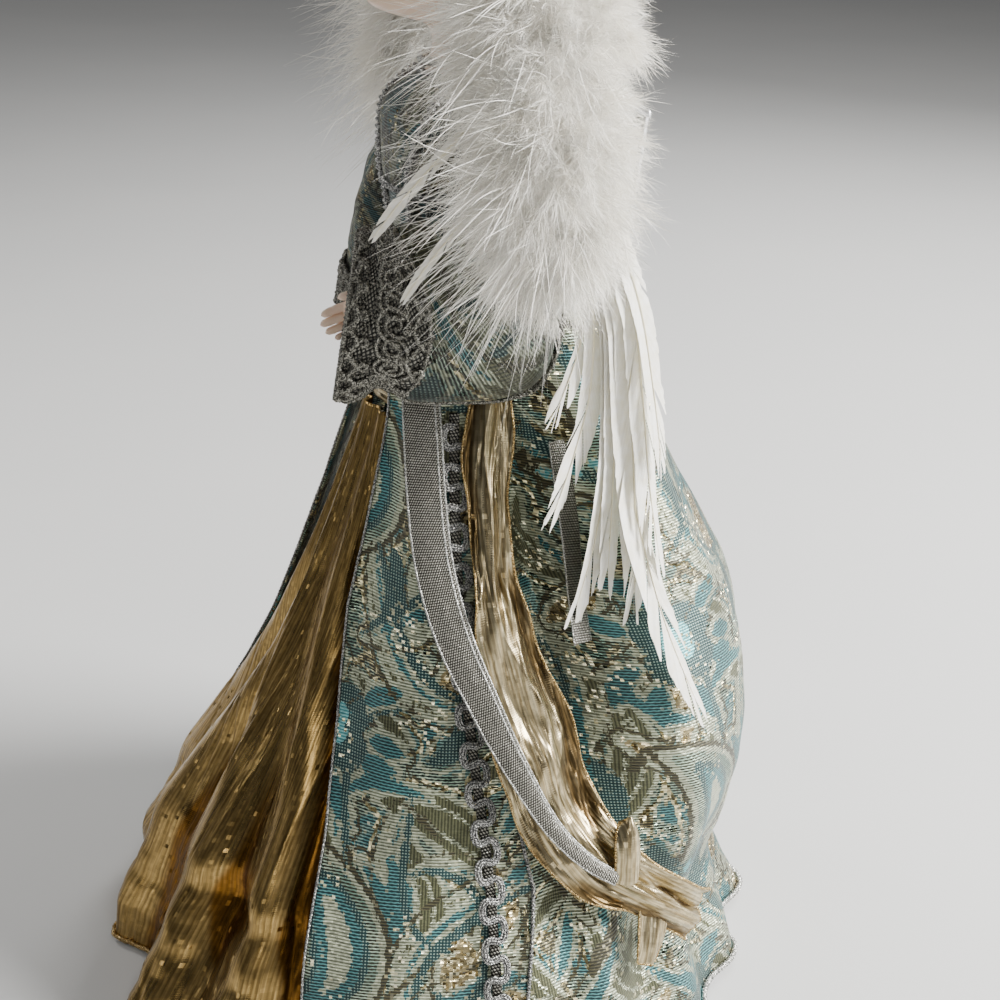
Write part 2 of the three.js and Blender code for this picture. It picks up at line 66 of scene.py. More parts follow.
def hash01(ix, iy, seed):
    h = (ix.astype(np.int64) * 374761393 + iy.astype(np.int64) * 668265263 + seed * 974711) & 0xFFFFFFFF
    h = ((h ^ (h >> 13)) * 1274126177) & 0xFFFFFFFF
    return ((h ^ (h >> 16)) & 0xFFFF) / 65535.0


def noise2(x, y, seed=0):
    x, y = np.broadcast_arrays(np.asarray(x, float), np.asarray(y, float))
    ix, iy = np.floor(x).astype(np.int64), np.floor(y).astype(np.int64)
    fx, fy = x - ix, y - iy
    fx, fy = fx * fx * (3 - 2 * fx), fy * fy * (3 - 2 * fy)
    a, b = hash01(ix, iy, seed), hash01(ix + 1, iy, seed)
    c, d = hash01(ix, iy + 1, seed), hash01(ix + 1, iy + 1, seed)
    return 2 * ((a * (1 - fx) + b * fx) * (1 - fy) + (c * (1 - fx) + d * fx) * fy) - 1


def fbm(x, y, seed=0, octaves=3):
    total, amp = 0.0, 1.0
    for k in range(octaves):
        total = total + amp * noise2(np.asarray(x) * 2 ** k, np.asarray(y) * 2 ** k, seed + 17 * k)
        amp *= 0.5
    return total / 1.75


def along(rows, t):
    """Smooth curve through rows of numbers, at t from 0 to 1."""
    rows, t = np.asarray(rows, float), np.asarray(t, float)
    n = len(rows)
    f = np.clip(t, 0, 1) * (n - 1)
    i = np.minimum(n - 2, np.floor(f).astype(int))
    w = (f - i)[..., None]
    a, b = rows[np.maximum(i - 1, 0)], rows[i]
    c, d = rows[i + 1], rows[np.minimum(i + 2, n - 1)]
    return 0.5 * (2 * b + (c - a) * w + (2 * a - 5 * b + 4 * c - d) * w ** 2 + (3 * b - a - 3 * c + d) * w ** 3)


# ------------------------------------------------------------------ meshes
def grid_faces(nv, nu, wrap=False):
    j, i = np.meshgrid(np.arange(nv - 1), np.arange(nu if wrap else nu - 1), indexing="ij")
    k = (i + 1) % nu
    return np.stack([j * nu + i, j * nu + k, (j + 1) * nu + k, (j + 1) * nu + i], -1).reshape(-1, 4)


class Pile:
    """Several small meshes in one."""

    def __init__(self):
        self.v, self.f, self.n, self.a = [], [], 0, {}

    def add(self, verts, faces, **attrs):
        verts = np.asarray(verts, float).reshape(-1, 3)
        for f in (faces if isinstance(faces, list) else [faces]):
            if len(f):
                self.f.append(np.asarray(f) + self.n)
        self.v.append(verts)
        self.n += len(verts)
        for key, value in attrs.items():
            value = np.asarray(value, float)
            if value.ndim == 0:
                value = np.full(len(verts), float(value))
            self.a.setdefault(key, []).append(value)

    def parts(self):
        quads = [f for f in self.f if f.shape[1] == 4]
        tris = [f for f in self.f if f.shape[1] == 3]
        faces = ([np.concatenate(quads)] if quads else []) + ([np.concatenate(tris)] if tris else [])
        return np.concatenate(self.v), faces, {k: np.concatenate(x) for k, x in self.a.items()}


def make(name, verts, faces, material, body="figure", uv=None, attrs=None, node=None, slot=None, solid=None, flat=False):
    faces = [np.asarray(f) for f in (faces if isinstance(faces, list) else [faces]) if len(f)]
    co = ((np.asarray(verts, float).reshape(-1, 3) + SHIFT) * 0.001).astype(np.float32)
    loops = np.concatenate([f.reshape(-1) for f in faces]).astype(np.int32)
    sizes = np.concatenate([np.full(len(f), f.shape[1]) for f in faces])
    starts = np.concatenate([[0], np.cumsum(sizes)[:-1]]).astype(np.int32)
    me = bpy.data.meshes.new(name)
    me.vertices.add(len(co))
    me.vertices.foreach_set("co", co.ravel())
    me.loops.add(len(loops))
    me.loops.foreach_set("vertex_index", loops)
    me.polygons.add(len(sizes))
    me.polygons.foreach_set("loop_start", starts)
    me.update(calc_edges=True)
    me.validate()
    me.polygons.foreach_set("use_smooth", np.full(len(me.polygons), not flat))
    if uv is not None:
        vi = np.empty(len(me.loops), np.int32)
        me.loops.foreach_get("vertex_index", vi)
        layer = me.uv_layers.new(name="weave")
        layer.data.foreach_set("uv", np.asarray(uv, np.float32).reshape(-1, 2)[vi].ravel())
    for key, value in (attrs or {}).items():
        value = np.asarray(value, np.float32)
        kind = "FLOAT" if value.ndim == 1 else "FLOAT_VECTOR"
        layer = me.attributes.new(key, kind, "POINT")
        layer.data.foreach_set("value" if kind == "FLOAT" else "vector", value.ravel())
    me.materials.append(material)
    ob = bpy.data.objects.new(name, me)
    scene.collection.objects.link(ob)
    if solid:
        mod = ob.modifiers.new("thickness", "SOLIDIFY")
        mod.thickness, mod.offset = solid * 0.001, -1
    if body:
        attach(ob, body)
    if node:
        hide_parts(*([node] if isinstance(node, str) else node))
    return ob


def tube(path, radius, normals, sides=8, closed=False, flat=1.0, caps=True):
    """Swept tube. normals is the direction of the section's first axis, flat its squash."""
    p = np.asarray(path, float)
    n = len(p)
    t = unit(np.roll(p, -1, 0) - np.roll(p, 1, 0)) if closed else unit(np.gradient(p, axis=0))
    nn = np.broadcast_to(np.asarray(normals, float), p.shape)
    nn = unit(nn - (nn * t).sum(1, keepdims=True) * t)
    b = np.cross(t, nn)
    ang = np.arange(sides) / sides * TAU
    r = np.broadcast_to(np.asarray(radius, float), (n,))
    ring = np.cos(ang)[None, :, None] * nn[:, None] * flat + np.sin(ang)[None, :, None] * b[:, None]
    v = (p[:, None] + r[:, None, None] * ring).reshape(-1, 3)
    if closed:
        f = grid_faces(n + 1, sides, True) % (n * sides)
        return v, [f]
    f = grid_faces(n, sides, True)
    if not caps:
        return v, [f]
    i = np.arange(sides)
    k = (i + 1) % sides
    e0 = p[0] - t[0] * r[0] * 0.6
    e1 = p[-1] + t[-1] * r[-1] * 0.6
    v = np.concatenate([v, [e0, e1]])
    a, z = n * sides, (n - 1) * sides
    return v, [f, np.concatenate([np.stack([k, i, np.full(sides, a)], 1), np.stack([z + i, z + k, np.full(sides, a + 1)], 1)])]


def resample(path, step, closed=False):
    p = np.asarray(path, float)
    if closed:
        p = np.concatenate([p, p[:1]])
    s = np.concatenate([[0], np.cumsum(np.linalg.norm(np.diff(p, axis=0), axis=1))])
    n = max(3, int(round(s[-1] / step)))
    q = np.linspace(0, s[-1], n + 1)
    out = np.stack([np.interp(q, s, p[:, k]) for k in range(3)], 1)
    return (out[:-1] if closed else out), q


def cord_of(pile, path, normals_of, r, step=0.35, pitch=1.1, depth=0.22, sides=7, closed=False, strands=1):
    """A beaded or twisted cord along a path, laid with its strands wound round each other."""
    p, s = resample(path, step, closed)
    s = s[:len(p)]
    nn = normals_of(p)
    if strands == 1:
        v, f = tube(p, r * (1 + depth * np.cos(TAU * s / pitch)), nn, sides, closed)
        pile.add(v, f)
        return
    t = unit(np.gradient(p, axis=0))
    nn = unit(nn - (nn * t).sum(1, keepdims=True) * t)
    b = np.cross(t, nn)
    for k in range(strands):
        w = TAU * (s / pitch + k / strands)
        q = p + (r * 0.5) * (np.cos(w)[:, None] * nn + np.sin(w)[:, None] * b)
        v, f = tube(q, r * 0.58, nn, sides, closed)
        pile.add(v, f)


# ------------------------------------------------------------------ shader graphs
def srgb(r, g, b):
    return tuple((x / 12.92 if x <= 0.04045 else ((x + 0.055) / 1.055) ** 2.4) for x in (r / 255, g / 255, b / 255))


class X:
    """A number in a shader graph."""

    def __init__(self, s, k):
        self.s, self.k = s, k

    def __add__(self, o): return self.s.m("ADD", self, o)
    def __radd__(self, o): return self.s.m("ADD", o, self)
    def __sub__(self, o): return self.s.m("SUBTRACT", self, o)
    def __rsub__(self, o): return self.s.m("SUBTRACT", o, self)
    def __mul__(self, o): return self.s.m("MULTIPLY", self, o)
    def __rmul__(self, o): return self.s.m("MULTIPLY", o, self)
    def __truediv__(self, o): return self.s.m("DIVIDE", self, o)
    def __gt__(self, o): return self.s.m("GREATER_THAN", self, o)
    def __lt__(self, o): return self.s.m("LESS_THAN", self, o)


class Shade:
    def __init__(self, name):
        self.mat = bpy.data.materials.new(name)
        self.mat.use_nodes = True
        self.tree = self.mat.node_tree
        self.tree.nodes.clear()

    def put(self, socket, value):
        if isinstance(value, X):
            value = value.k
        if isinstance(value, bpy.types.NodeSocket):
            self.tree.links.new(value, socket)
        elif isinstance(value, tuple) and len(value) == 3 and socket.type == "RGBA":
            socket.default_value = (*value, 1.0)
        else:
            socket.default_value = value

    def node(self, kind, props=None, **inputs):
        n = self.tree.nodes.new(kind)
        for key, value in (props or {}).items():
            setattr(n, key, value)
        for key, value in inputs.items():
            self.put(n.inputs[key.replace("_", " ")], value)
        return n

    def m(self, op, a, b=None, c=None):
        n = self.tree.nodes.new("ShaderNodeMath")
        n.operation = op
        for k, value in enumerate((a, b, c)):
            if value is not None:
                self.put(n.inputs[k], value)
        return X(self, n.outputs[0])

    def sin(self, a): return self.m("SINE", a)
    def cos(self, a): return self.m("COSINE", a)
    def floor(self, a): return self.m("FLOOR", a)
    def fract(self, a): return self.m("FRACT", a)
    def abs(self, a): return self.m("ABSOLUTE", a)
    def max(self, a, b): return self.m("MAXIMUM", a, b)
    def min(self, a, b): return self.m("MINIMUM", a, b)
    def power(self, a, b): return self.m("POWER", a, b)

    def ramp(self, value, a, b, lo=0.0, hi=1.0):
        n = self.node("ShaderNodeMapRange", {"interpolation_type": "SMOOTHSTEP"})
        for key, x in zip(("Value", "From Min", "From Max", "To Min", "To Max"), (value, a, b, lo, hi)):
            self.put(n.inputs[key], x)
        return X(self, n.outputs[0])

    def mix(self, fac, a, b, blend="MIX"):
        n = self.tree.nodes.new("ShaderNodeMix")
        n.data_type, n.blend_type = "RGBA", blend
        self.put(n.inputs[0], fac)
        self.put(n.inputs[6], a)
        self.put(n.inputs[7], b)
        return n.outputs[2]

    def scale(self, colour, factor):
        n = self.tree.nodes.new("ShaderNodeVectorMath")
        n.operation = "SCALE"
        self.put(n.inputs[0], colour)
        self.put(n.inputs["Scale"], factor)
        return n.outputs[0]

    def vm(self, op, a, b=None):
        n = self.tree.nodes.new("ShaderNodeVectorMath")
        n.operation = op
        self.put(n.inputs[0], a)
        if b is not None:
            self.put(n.inputs[1], b)
        return n.outputs[0]

    def vec(self, x, y, z=0.0):
        n = self.tree.nodes.new("ShaderNodeCombineXYZ")
        for k, value in enumerate((x, y, z)):
            self.put(n.inputs[k], value)
        return n.outputs[0]

    def split(self, vector):
        n = self.tree.nodes.new("ShaderNodeSeparateXYZ")
        self.put(n.inputs[0], vector)
        return [X(self, o) for o in n.outputs]

    def uv_mm(self):
        n = self.tree.nodes.new("ShaderNodeUVMap")
        n.uv_map = "weave"
        u, v, _ = self.split(n.outputs[0])
        return u * 100.0, v * 100.0

    def place(self):
        return self.tree.nodes.new("ShaderNodeTexCoord").outputs["Object"]

    def attr(self, name):
        n = self.tree.nodes.new("ShaderNodeAttribute")
        n.attribute_name = name
        return n

    def white(self, vector):
        n = self.tree.nodes.new("ShaderNodeTexWhiteNoise")
        n.noise_dimensions = "3D"
        self.put(n.inputs["Vector"], vector)
        return X(self, n.outputs["Value"]), n.outputs["Color"]

    def noise(self, vector, scale, detail=2.0, rough=0.5, distortion=0.0):
        n = self.tree.nodes.new("ShaderNodeTexNoise")
        self.put(n.inputs["Vector"], vector)
        for key, value in (("Scale", scale), ("Detail", detail), ("Roughness", rough), ("Distortion", distortion)):
            self.put(n.inputs[key], value)
        return X(self, n.outputs[0])

    def bump(self, height, distance, strength=1.0, normal=None):
        n = self.tree.nodes.new("ShaderNodeBump")
        self.put(n.inputs["Strength"], strength)
        self.put(n.inputs["Distance"], distance)
        self.put(n.inputs["Height"], height)
        if normal is not None:
            self.put(n.inputs["Normal"], normal)
        return n.outputs[0]

    def glint(self, normal, colour, amount):
        """normal tipped by a random colour, by amount."""
        tip = self.scale(self.vm("SUBTRACT", colour, (0.5, 0.5, 0.5)), amount)
        return self.vm("NORMALIZE", self.vm("ADD", normal, tip))

    def surface(self, **inputs):
        b = self.tree.nodes.new("ShaderNodeBsdfPrincipled")
        for key, value in inputs.items():
            self.put(b.inputs[key.replace("_", " ")], value)
        out = self.tree.nodes.new("ShaderNodeOutputMaterial")
        self.tree.links.new(b.outputs[0], out.inputs[0])
        return self.mat


# ------------------------------------------------------------------ materials
def brocade_material(name, tone=1.0):
    s = Shade(name)
    u, v = s.uv_mm()
    pitch = 0.92
    tu, tv = u / pitch, v / pitch
    cu, cv = s.floor(tu), s.floor(tv)
    rand, randcol = s.white(s.vec(cu, cv, 3.0))
    rand2, _ = s.white(s.vec(s.floor(cu * 0.34), cv, 9.0))
    jag = (rand - 0.5) * 0.75 + (rand2 - 0.5) * 0.3
    rib = s.cos(tv * TAU) * 0.5 + 0.5
    cross = s.cos((tu + cv) * math.pi) * 0.5 + 0.5
    dash = rib * (cross * 0.45 + 0.55)
    warp = s.cos(tu * TAU) * 0.5 + 0.5
    dots = rib * warp

    o, g, a = [x + jag for x in s.split(s.attr("field_a").outputs["Vector"])]
    d, c, p = [x + jag for x in s.split(s.attr("field_b").outputs["Vector"])]
    bb = X(s, s.attr("field_c").outputs["Fac"]) + jag

    # ground: sage ribs with darker gaps, with clouds of aqua and olive in it
    cell_u, cell_v = cu * pitch, cv * pitch
    drift = s.noise(s.vec(cell_u, cell_v, 0.0), 0.06, 2.0)
    sage = s.mix(s.ramp(drift, 0.4, 0.62), srgb(190, 212, 188), srgb(122, 156, 140))
    col = s.mix(s.ramp(dash, 0.2, 0.76), srgb(26, 33, 26), sage)
    spark = s.noise(s.vec(cell_u, cell_v, 21.0), 0.05, 2.0)
    metal = (rand2 > 0.52) * s.ramp(spark, 0.38, 0.54) * 0.95
    flatness = s.ramp(dash, 0, 1) * 0.0

    def lay(mask, colour, metallic, smoothness=0.0):
        nonlocal col, metal, flatness
        col = s.mix(mask, col, colour)
        metal = metal * (1.0 - mask) + mask * metallic
        flatness = flatness * (1.0 - mask) + mask * smoothness

    cream = s.mix(rib, srgb(106, 112, 88), srgb(208, 214, 188))
    brown = s.mix(rib, srgb(34, 34, 23), srgb(90, 86, 60))
    olive = s.mix(s.ramp(warp, 0.1, 0.9), srgb(60, 63, 42), srgb(104, 106, 76))
    gold = s.mix(s.ramp(rand, 0.25, 0.9), srgb(152, 132, 84), srgb(244, 232, 188))
    aqua = s.mix(s.ramp(dash, 0.2, 0.76), srgb(18, 50, 52), srgb(94, 158, 160))
    mist = s.mix(s.ramp(dash, 0.2, 0.76), srgb(40, 66, 62), srgb(150, 190, 182))
    teal = s.mix(s.ramp(dots, 0.42, 0.6), srgb(24, 58, 60), srgb(146, 172, 160))
    bright = s.mix(s.ramp(dash, 0.1, 0.5), srgb(62, 132, 138), srgb(130, 192, 192))
    glow = s.mix(s.ramp(rand, 0.3, 0.8), srgb(120, 110, 72), srgb(236, 226, 180))

    cloud = s.noise(s.vec(cell_u * 0.8, cell_v, 40.0), 0.075, 1.0, 0.5, 0.9) + (rand - 0.5) * 0.02
    lay((cloud > 0.545), mist, 0.1)
    lay((s.abs(cloud - 0.548) < 0.011), cream, 0.45)
    lay((cloud > 0.64), aqua, 0.05)
    cloud2 = s.noise(s.vec(cell_u, cell_v * 0.8, 80.0), 0.085, 1.0, 0.5, 1.2) + (rand - 0.5) * 0.02
    lay((cloud2 > 0.615), s.mix((dash > 0.32), brown, glow), (dash > 0.32) * 0.8)
    lay((s.abs(cloud2 - 0.445) < 0.008), cream, 0.5)
    # echo lines outside the drawn shapes
    lay((s.abs(o + 1.9) < 0.42), glow, 0.75)
    lay((s.abs(d + 1.5) < 0.40), cream, 0.4)
    lay((s.abs(p + 1.7) < 0.45), glow, 0.7)
    lay((s.abs(a + 1.7) < 0.36), brown, 0.0)
    # olive blades with a cream edge and a cream vein
    lay((s.abs(o) < 0.62), cream, 0.25)
    lay((o > 0.62), olive, 0.0, 0.6)
    lay((s.abs(o - 2.9) < 0.36), cream, 0.5)
    # gold scale fans
    row = s.floor(v / 6.6)
    fx = s.fract(u / 8.4 + row * 0.5) - 0.5
    fy = s.fract(v / 6.6)
    rad = s.power(s.power(fx * 8.4, 2.0) + s.power(fy * 6.6, 2.0), 0.5) + (rand - 0.5) * 0.6
    scale = (s.fract(rad / 2.5) > 0.45)
    lay((g > 0.0), s.mix(scale, s.mix(rand2, srgb(158, 144, 104), srgb(104, 94, 64)), gold), scale * 0.7 + 0.25, 0.2)
    lay((s.abs(g) < 0.6), cream, 0.3)
    lay((s.abs(g + 1.3) < 0.4), brown, 0.0)
    # aqua petals and scroll bands
    lay((a > 0.0), aqua, 0.05)
    lay((s.abs(a) < 0.5), cream, 0.35)
    # contour-lined teardrops
    lay((p > 0.0), brown, 0.0)
    lay((p > 1.3), cream, 0.2)
    lay((p > 2.7), s.mix((dash > 0.42), brown, sage), 0.1)
    lay((p > 5.0), teal, 0.0)
    lay((p > 6.4), aqua, 0.05)
    lay((p > 8.6), cream, 0.35)
    # dark flower hearts with bright middles
    lay((d > 0.0), teal, 0.0)
    lay((c > 0.0), bright, 0.1)
    lay((bb > 0.0), brown, 0.0)

    # painted glints: gold threads in drifts coloured near white, with metal and tipped normals that also catch the
    # lamps
    lay((rand > 0.91) * s.ramp(spark, 0.5, 0.62), s.mix(rand2, srgb(214, 204, 156), srgb(244, 238, 206)), 0.95)
    # tone below 1 darkens the whole cloth: painted shade for the darker copy; the noise called shade only varies the
    # tone at random
    shade = s.noise(s.vec(u, v, 4.0), 0.035, 1.0)
    col = s.scale(col, s.ramp(shade, 0.3, 0.72, 0.68 * tone, 1.1 * tone) * s.ramp(rand, 0.0, 1.0, 0.84, 1.14))
    height = dash * (1.0 - flatness) + warp * 0.3 * flatness
    normal = s.bump(height, 0.00028, 0.75)
    normal = s.glint(normal, randcol, metal * 1.35 + 0.05)
    return s.surface(Base_Color=col, Metallic=metal * 0.55 + 0.42, Roughness=0.46 - metal * 0.22, Normal=normal,
                     Sheen_Weight=0.12, Sheen_Roughness=0.5)


def lame_material(name, light, dark, deep, streak=1.0):
    """Thin metal cloth, crinkled along its length, with painted shade in amber where it folds in."""
    s = Shade(name)
    u, v = s.uv_mm()
    fine = s.noise(s.vec(u * 1.3, v * 0.05, 0.0), 1.0, 2.0, 0.6, 0.25)
    broad = s.noise(s.vec(u * 0.34, v * 0.028, 3.0), 1.0, 2.0, 0.5)
    weft = s.cos(v * (TAU / 0.7)) * 0.5 + 0.5
    thread = s.cos(u * (TAU / 1.15) + fine * 5.0) * 0.5 + 0.5
    rand, randcol = s.white(s.vec(s.floor(u / 1.0), s.floor(v / 1.5), 1.0))
    # painted shade: the deep attribute mixes in the third colour, a darker amber, where the cloth folds in
    valley = X(s, s.attr("deep").outputs["Fac"])
    col = s.mix(s.ramp(fine, 0.3, 0.7), dark, light)
    col = s.mix(s.ramp(valley + (broad - 0.5) * 0.6, 0.25, 0.95, 0.0, 0.9), col, deep)
    col = s.scale(col, s.ramp(rand, 0.0, 1.0, 0.86, 1.12) * s.ramp(thread, 0.0, 1.0, 0.74, 1.08))
    normal = s.bump(fine * 0.28 + broad * 0.8 + weft * 0.03 + thread * 0.05, 0.0011 * streak, 0.4)
    normal = s.glint(normal, randcol, s.ramp(rand, 0.9, 1.0, 0.04, 0.6))
    return s.surface(Base_Color=col, Metallic=0.96, Roughness=s.ramp(broad, 0.25, 0.75, 0.36, 0.24), Normal=normal)


def mesh_material(name, light, dark, pitch=0.62, metallic=0.5, sparkle=0.25):
    """Woven metal mesh, for the flat ribbon and the lace ground."""
    s = Shade(name)
    u, v = s.uv_mm()
    a, b = (u + v * 0.55) / pitch, (v - u * 0.12) / pitch
    rand, randcol = s.white(s.vec(s.floor(a), s.floor(b), 5.0))
    weave = (s.cos(a * TAU) * 0.5 + 0.5) * (s.cos(b * TAU) * 0.5 + 0.5)
    col = s.mix(s.ramp(weave, 0.06, 0.5), dark, light)
    col = s.scale(col, s.ramp(rand, 0.0, 1.0, 0.85, 1.1))
    normal = s.bump(weave, 0.0002, 0.7)
    normal = s.glint(normal, randcol, s.ramp(rand, 0.6, 1.0, 0.08, sparkle))
    return s.surface(Base_Color=col, Metallic=metallic, Roughness=s.ramp(rand, 0, 1, 0.45, 0.28), Normal=normal)


def thread_material(name, light, dark, metallic=0.8, scale=2600.0):
    """Wound metal thread, for cords, braid and beads."""
    s = Shade(name)
    where = s.place()
    fine = s.noise(where, scale, 1.0, 0.5)
    rand, randcol = s.white(s.vm("FLOOR", s.vm("MULTIPLY", where, (2200.0, 2200.0, 2200.0))))
    col = s.mix(s.ramp(fine, 0.4, 0.62), dark, light)
    normal = s.bump(fine, 0.0003, 0.9)
    normal = s.glint(normal, randcol, 0.55)
    return s.surface(Base_Color=col, Metallic=metallic, Roughness=0.34, Normal=normal)


def soft_material(name, light, dark, rough=0.9, tint=None, scale=180.0):
    s = Shade(name)
    where = s.place()
    n = s.noise(where, scale, 3.0, 0.6)
    col = s.mix(s.ramp(n, 0.3, 0.7), dark, light)
    if tint is not None:
        t = X(s, s.attr("tip").outputs["Fac"])
        col = s.mix(t, col, tint)
    return s.surface(Base_Color=col, Roughness=rough, Sheen_Weight=0.25, Sheen_Roughness=0.6, Specular_IOR_Level=0.25)


def quill_material():
    s = Shade("feather_vane")
    where = s.place()
    n = s.noise(where, 320.0, 2.0)
    t = X(s, s.attr("tip").outputs["Fac"])
    shade = X(s, s.attr("shade").outputs["Fac"])
    col = s.mix(s.ramp(n, 0.35, 0.65), srgb(247, 243, 228), srgb(253, 251, 244))
    col = s.scale(col, 0.88 + shade * 0.12)
    col = s.mix(t, col, srgb(238, 229, 196))
    return s.surface(Base_Color=col, Roughness=0.55, Specular_IOR_Level=0.35, Sheen_Weight=0.2)


def skin_material():
    s = Shade("bisque")
    where = s.place()
    n = s.noise(where, 900.0, 3.0, 0.6)
    broad = s.noise(where, 60.0, 2.0)
    lip = X(s, s.attr("lip").outputs["Fac"])
    lash = X(s, s.attr("lash").outputs["Fac"])
    blush = X(s, s.attr("blush").outputs["Fac"])
    col = s.mix(s.ramp(broad, 0.3, 0.7), srgb(238, 208, 184), srgb(243, 216, 195))
    col = s.mix(blush * 0.55, col, srgb(226, 150, 128))
    col = s.mix(lip, col, srgb(204, 118, 108))
    # tint: doll paint on the lip line, nostrils and lids, with painted shade under the nose, under the lower lip and
    # down the nose's sides
    col = s.mix(X(s, s.attr("tint").outputs["Fac"]), col, srgb(150, 84, 66))
    col = s.mix(lash, col, srgb(74, 46, 32))
    return s.surface(Base_Color=col, Roughness=s.ramp(n, 0.3, 0.7, 0.42, 0.52), Normal=s.bump(n, 0.00006, 0.5),
                     Subsurface_Weight=0.12, Subsurface_Radius=(0.004, 0.002, 0.001), Coat_Weight=0.08)


def hair_material():
    s = Shade("hair")
    u, v = s.uv_mm()
    fine = s.noise(s.vec(u * 3.2, v * 0.1, 0.0), 1.0, 3.0, 0.65)
    tone = s.noise(s.vec(u * 0.25, v * 0.03, 7.0), 1.0, 2.0)
    col = s.mix(s.ramp(fine, 0.3, 0.7), srgb(44, 26, 15), srgb(98, 61, 35))
    col = s.mix(s.ramp(tone, 0.45, 0.7, 0.0, 0.5), col, srgb(118, 78, 46))
    return s.surface(Base_Color=col, Roughness=0.42, Normal=s.bump(fine, 0.0006, 0.9), Anisotropic=0.4)


def card_material():
    s = Shade("rolled_card")
    where = s.place()
    fibre = s.noise(s.vm("MULTIPLY", where, (900.0, 900.0, 120.0)), 1.0, 4.0, 0.65)
    broad = s.noise(where, 30.0, 3.0)
    col = s.mix(s.ramp(fibre, 0.3, 0.7), srgb(158, 130, 92), srgb(190, 164, 122))
    col = s.mix(s.ramp(broad, 0.5, 0.75, 0.0, 0.4), col, srgb(140, 112, 76))
    return s.surface(Base_Color=col, Roughness=0.86, Normal=s.bump(fibre, 0.0002, 0.6))


def wood_material():
    s = Shade("turned_wood")
    where = s.place()
    grain = s.noise(s.vm("MULTIPLY", where, (420.0, 420.0, 36.0)), 1.0, 4.0, 0.6, 0.6)
    col = s.mix(s.ramp(grain, 0.35, 0.65), srgb(164, 120, 74), srgb(206, 166, 114))
    return s.surface(Base_Color=col, Roughness=0.58, Normal=s.bump(grain, 0.0001, 0.5))


def steel_material():
    s = Shade("steel_wire")
    where = s.place()
    n = s.noise(s.vm("MULTIPLY", where, (900.0, 900.0, 900.0)), 1.0, 2.0)
    return s.surface(Base_Color=s.mix(n, (0.42, 0.42, 0.43), (0.62, 0.62, 0.63)), Metallic=1.0,
                     Roughness=s.ramp(n, 0.3, 0.7, 0.28, 0.42), Normal=s.bump(n, 0.00008, 0.4))


def cotton_material():
    s = Shade("stuffed_cotton")
    where = s.place()
    x, y, z = s.split(s.vm("MULTIPLY", where, (1600.0, 1600.0, 1600.0)))
    weave = s.sin((x + y) * 3.0) * s.sin(z * 3.0)
    n = s.noise(where, 90.0, 2.0)
    col = s.mix(s.ramp(n, 0.3, 0.7), srgb(226, 216, 196), srgb(238, 230, 214))
    return s.surface(Base_Color=col, Roughness=0.92, Normal=s.bump(weave, 0.0001, 0.5), Sheen_Weight=0.2)


# the second brocade is the same cloth at 0.38 of its brightness: painted shade, for the sleeves, which lie in the
# wing's shade, and for the bodice and yoke to match them
BROCADE, BROCADE_SHADED = brocade_material("brocade"), brocade_material("brocade_painted_shade", 0.38)
# the third colour of each lamé is painted shade for where it folds in
GOLD = lame_material("gold_lame", srgb(186, 156, 100), srgb(140, 114, 66), srgb(116, 76, 18), 0.42)
GOLD_RIB = lame_material("gold_ribbon_lame", srgb(208, 194, 158), srgb(148, 130, 94), srgb(88, 68, 36), 1.0)
SILVER_MESH = mesh_material("silver_mesh", srgb(172, 170, 160), srgb(58, 56, 52), 0.75, 0.72, 0.45)
LACE_GROUND = mesh_material("lace_ground", srgb(126, 124, 116), srgb(22, 22, 20), 1.0, 0.7, 0.6)
SILVER = thread_material("silver_thread", srgb(188, 188, 184), srgb(70, 70, 72))
# a darker copy of the silver thread for the sleeve lace: painted shade, since the lace lies in the wing's shade
LACE_CORD_SHADED = thread_material("lace_thread_painted_shade", srgb(164, 162, 152), srgb(50, 49, 46))
BRIGHT_SILVER = thread_material("bright_silver_thread", srgb(226, 226, 220), srgb(128, 128, 126))
GOLD_CORD = thread_material("gold_thread", srgb(226, 198, 140), srgb(120, 92, 50))
DOWN = soft_material("marabou", srgb(255, 253, 247), srgb(250, 246, 236), 0.95)
QUILL = quill_material()
SKIN = skin_material()
HAIR = hair_material()
CARD, WOOD, STEEL, COTTON = card_material(), wood_material(), steel_material(), cotton_material()


def dress(node, material):
    me = nodes[node].data
    me.materials.clear()
    me.materials.append(material)


for n in ("base_rim", "base_cone"):
    dress(n, CARD)
for n in ("cone_plug", "centre_dowel", "stop_bead_left", "stop_bead_right"):
    dress(n, WOOD)
dress("wing_plate", soft_material("ivory_paint", srgb(224, 217, 198), srgb(208, 200, 180), 0.55))
for n in nodes:
    if n.startswith(("shoulder_wire", "arm_wire", "wing_wire", "wing_post")):
        dress(n, STEEL)

# ------------------------------------------------------------------ camera, light, floor
AZ, PITCH, ROLL = (math.radians(x) for x in (68.0, 24.7, 1.5))
look_flat = np.array([-math.sin(AZ), math.cos(AZ), 0.0])
right = np.array([math.cos(AZ), math.sin(AZ), 0.0])
up = np.array([0.0, 0.0, 1.0])
eye = -look_flat * 467.0 + right * 19.0 + up * 377.0
look = look_flat * math.cos(PITCH) - up * math.sin(PITCH)
over = look_flat * math.sin(PITCH) + up * math.cos(PITCH)
cam_x = right * math.cos(ROLL) + over * math.sin(ROLL)
cam_y = over * math.cos(ROLL) - right * math.sin(ROLL)
cam = bpy.data.objects.new("camera", bpy.data.cameras.new("camera"))
scene.collection.objects.link(cam)
cam.data.lens, cam.data.sensor_width = 57.6, 36.0
place = Matrix(np.vstack([np.column_stack([cam_x, cam_y, -look, (eye + SHIFT) * 0.001]), [0, 0, 0, 1]]).tolist())
cam.matrix_world = place
cam.data.clip_start, cam.data.clip_end = 0.01, 50.0
scene.camera = cam


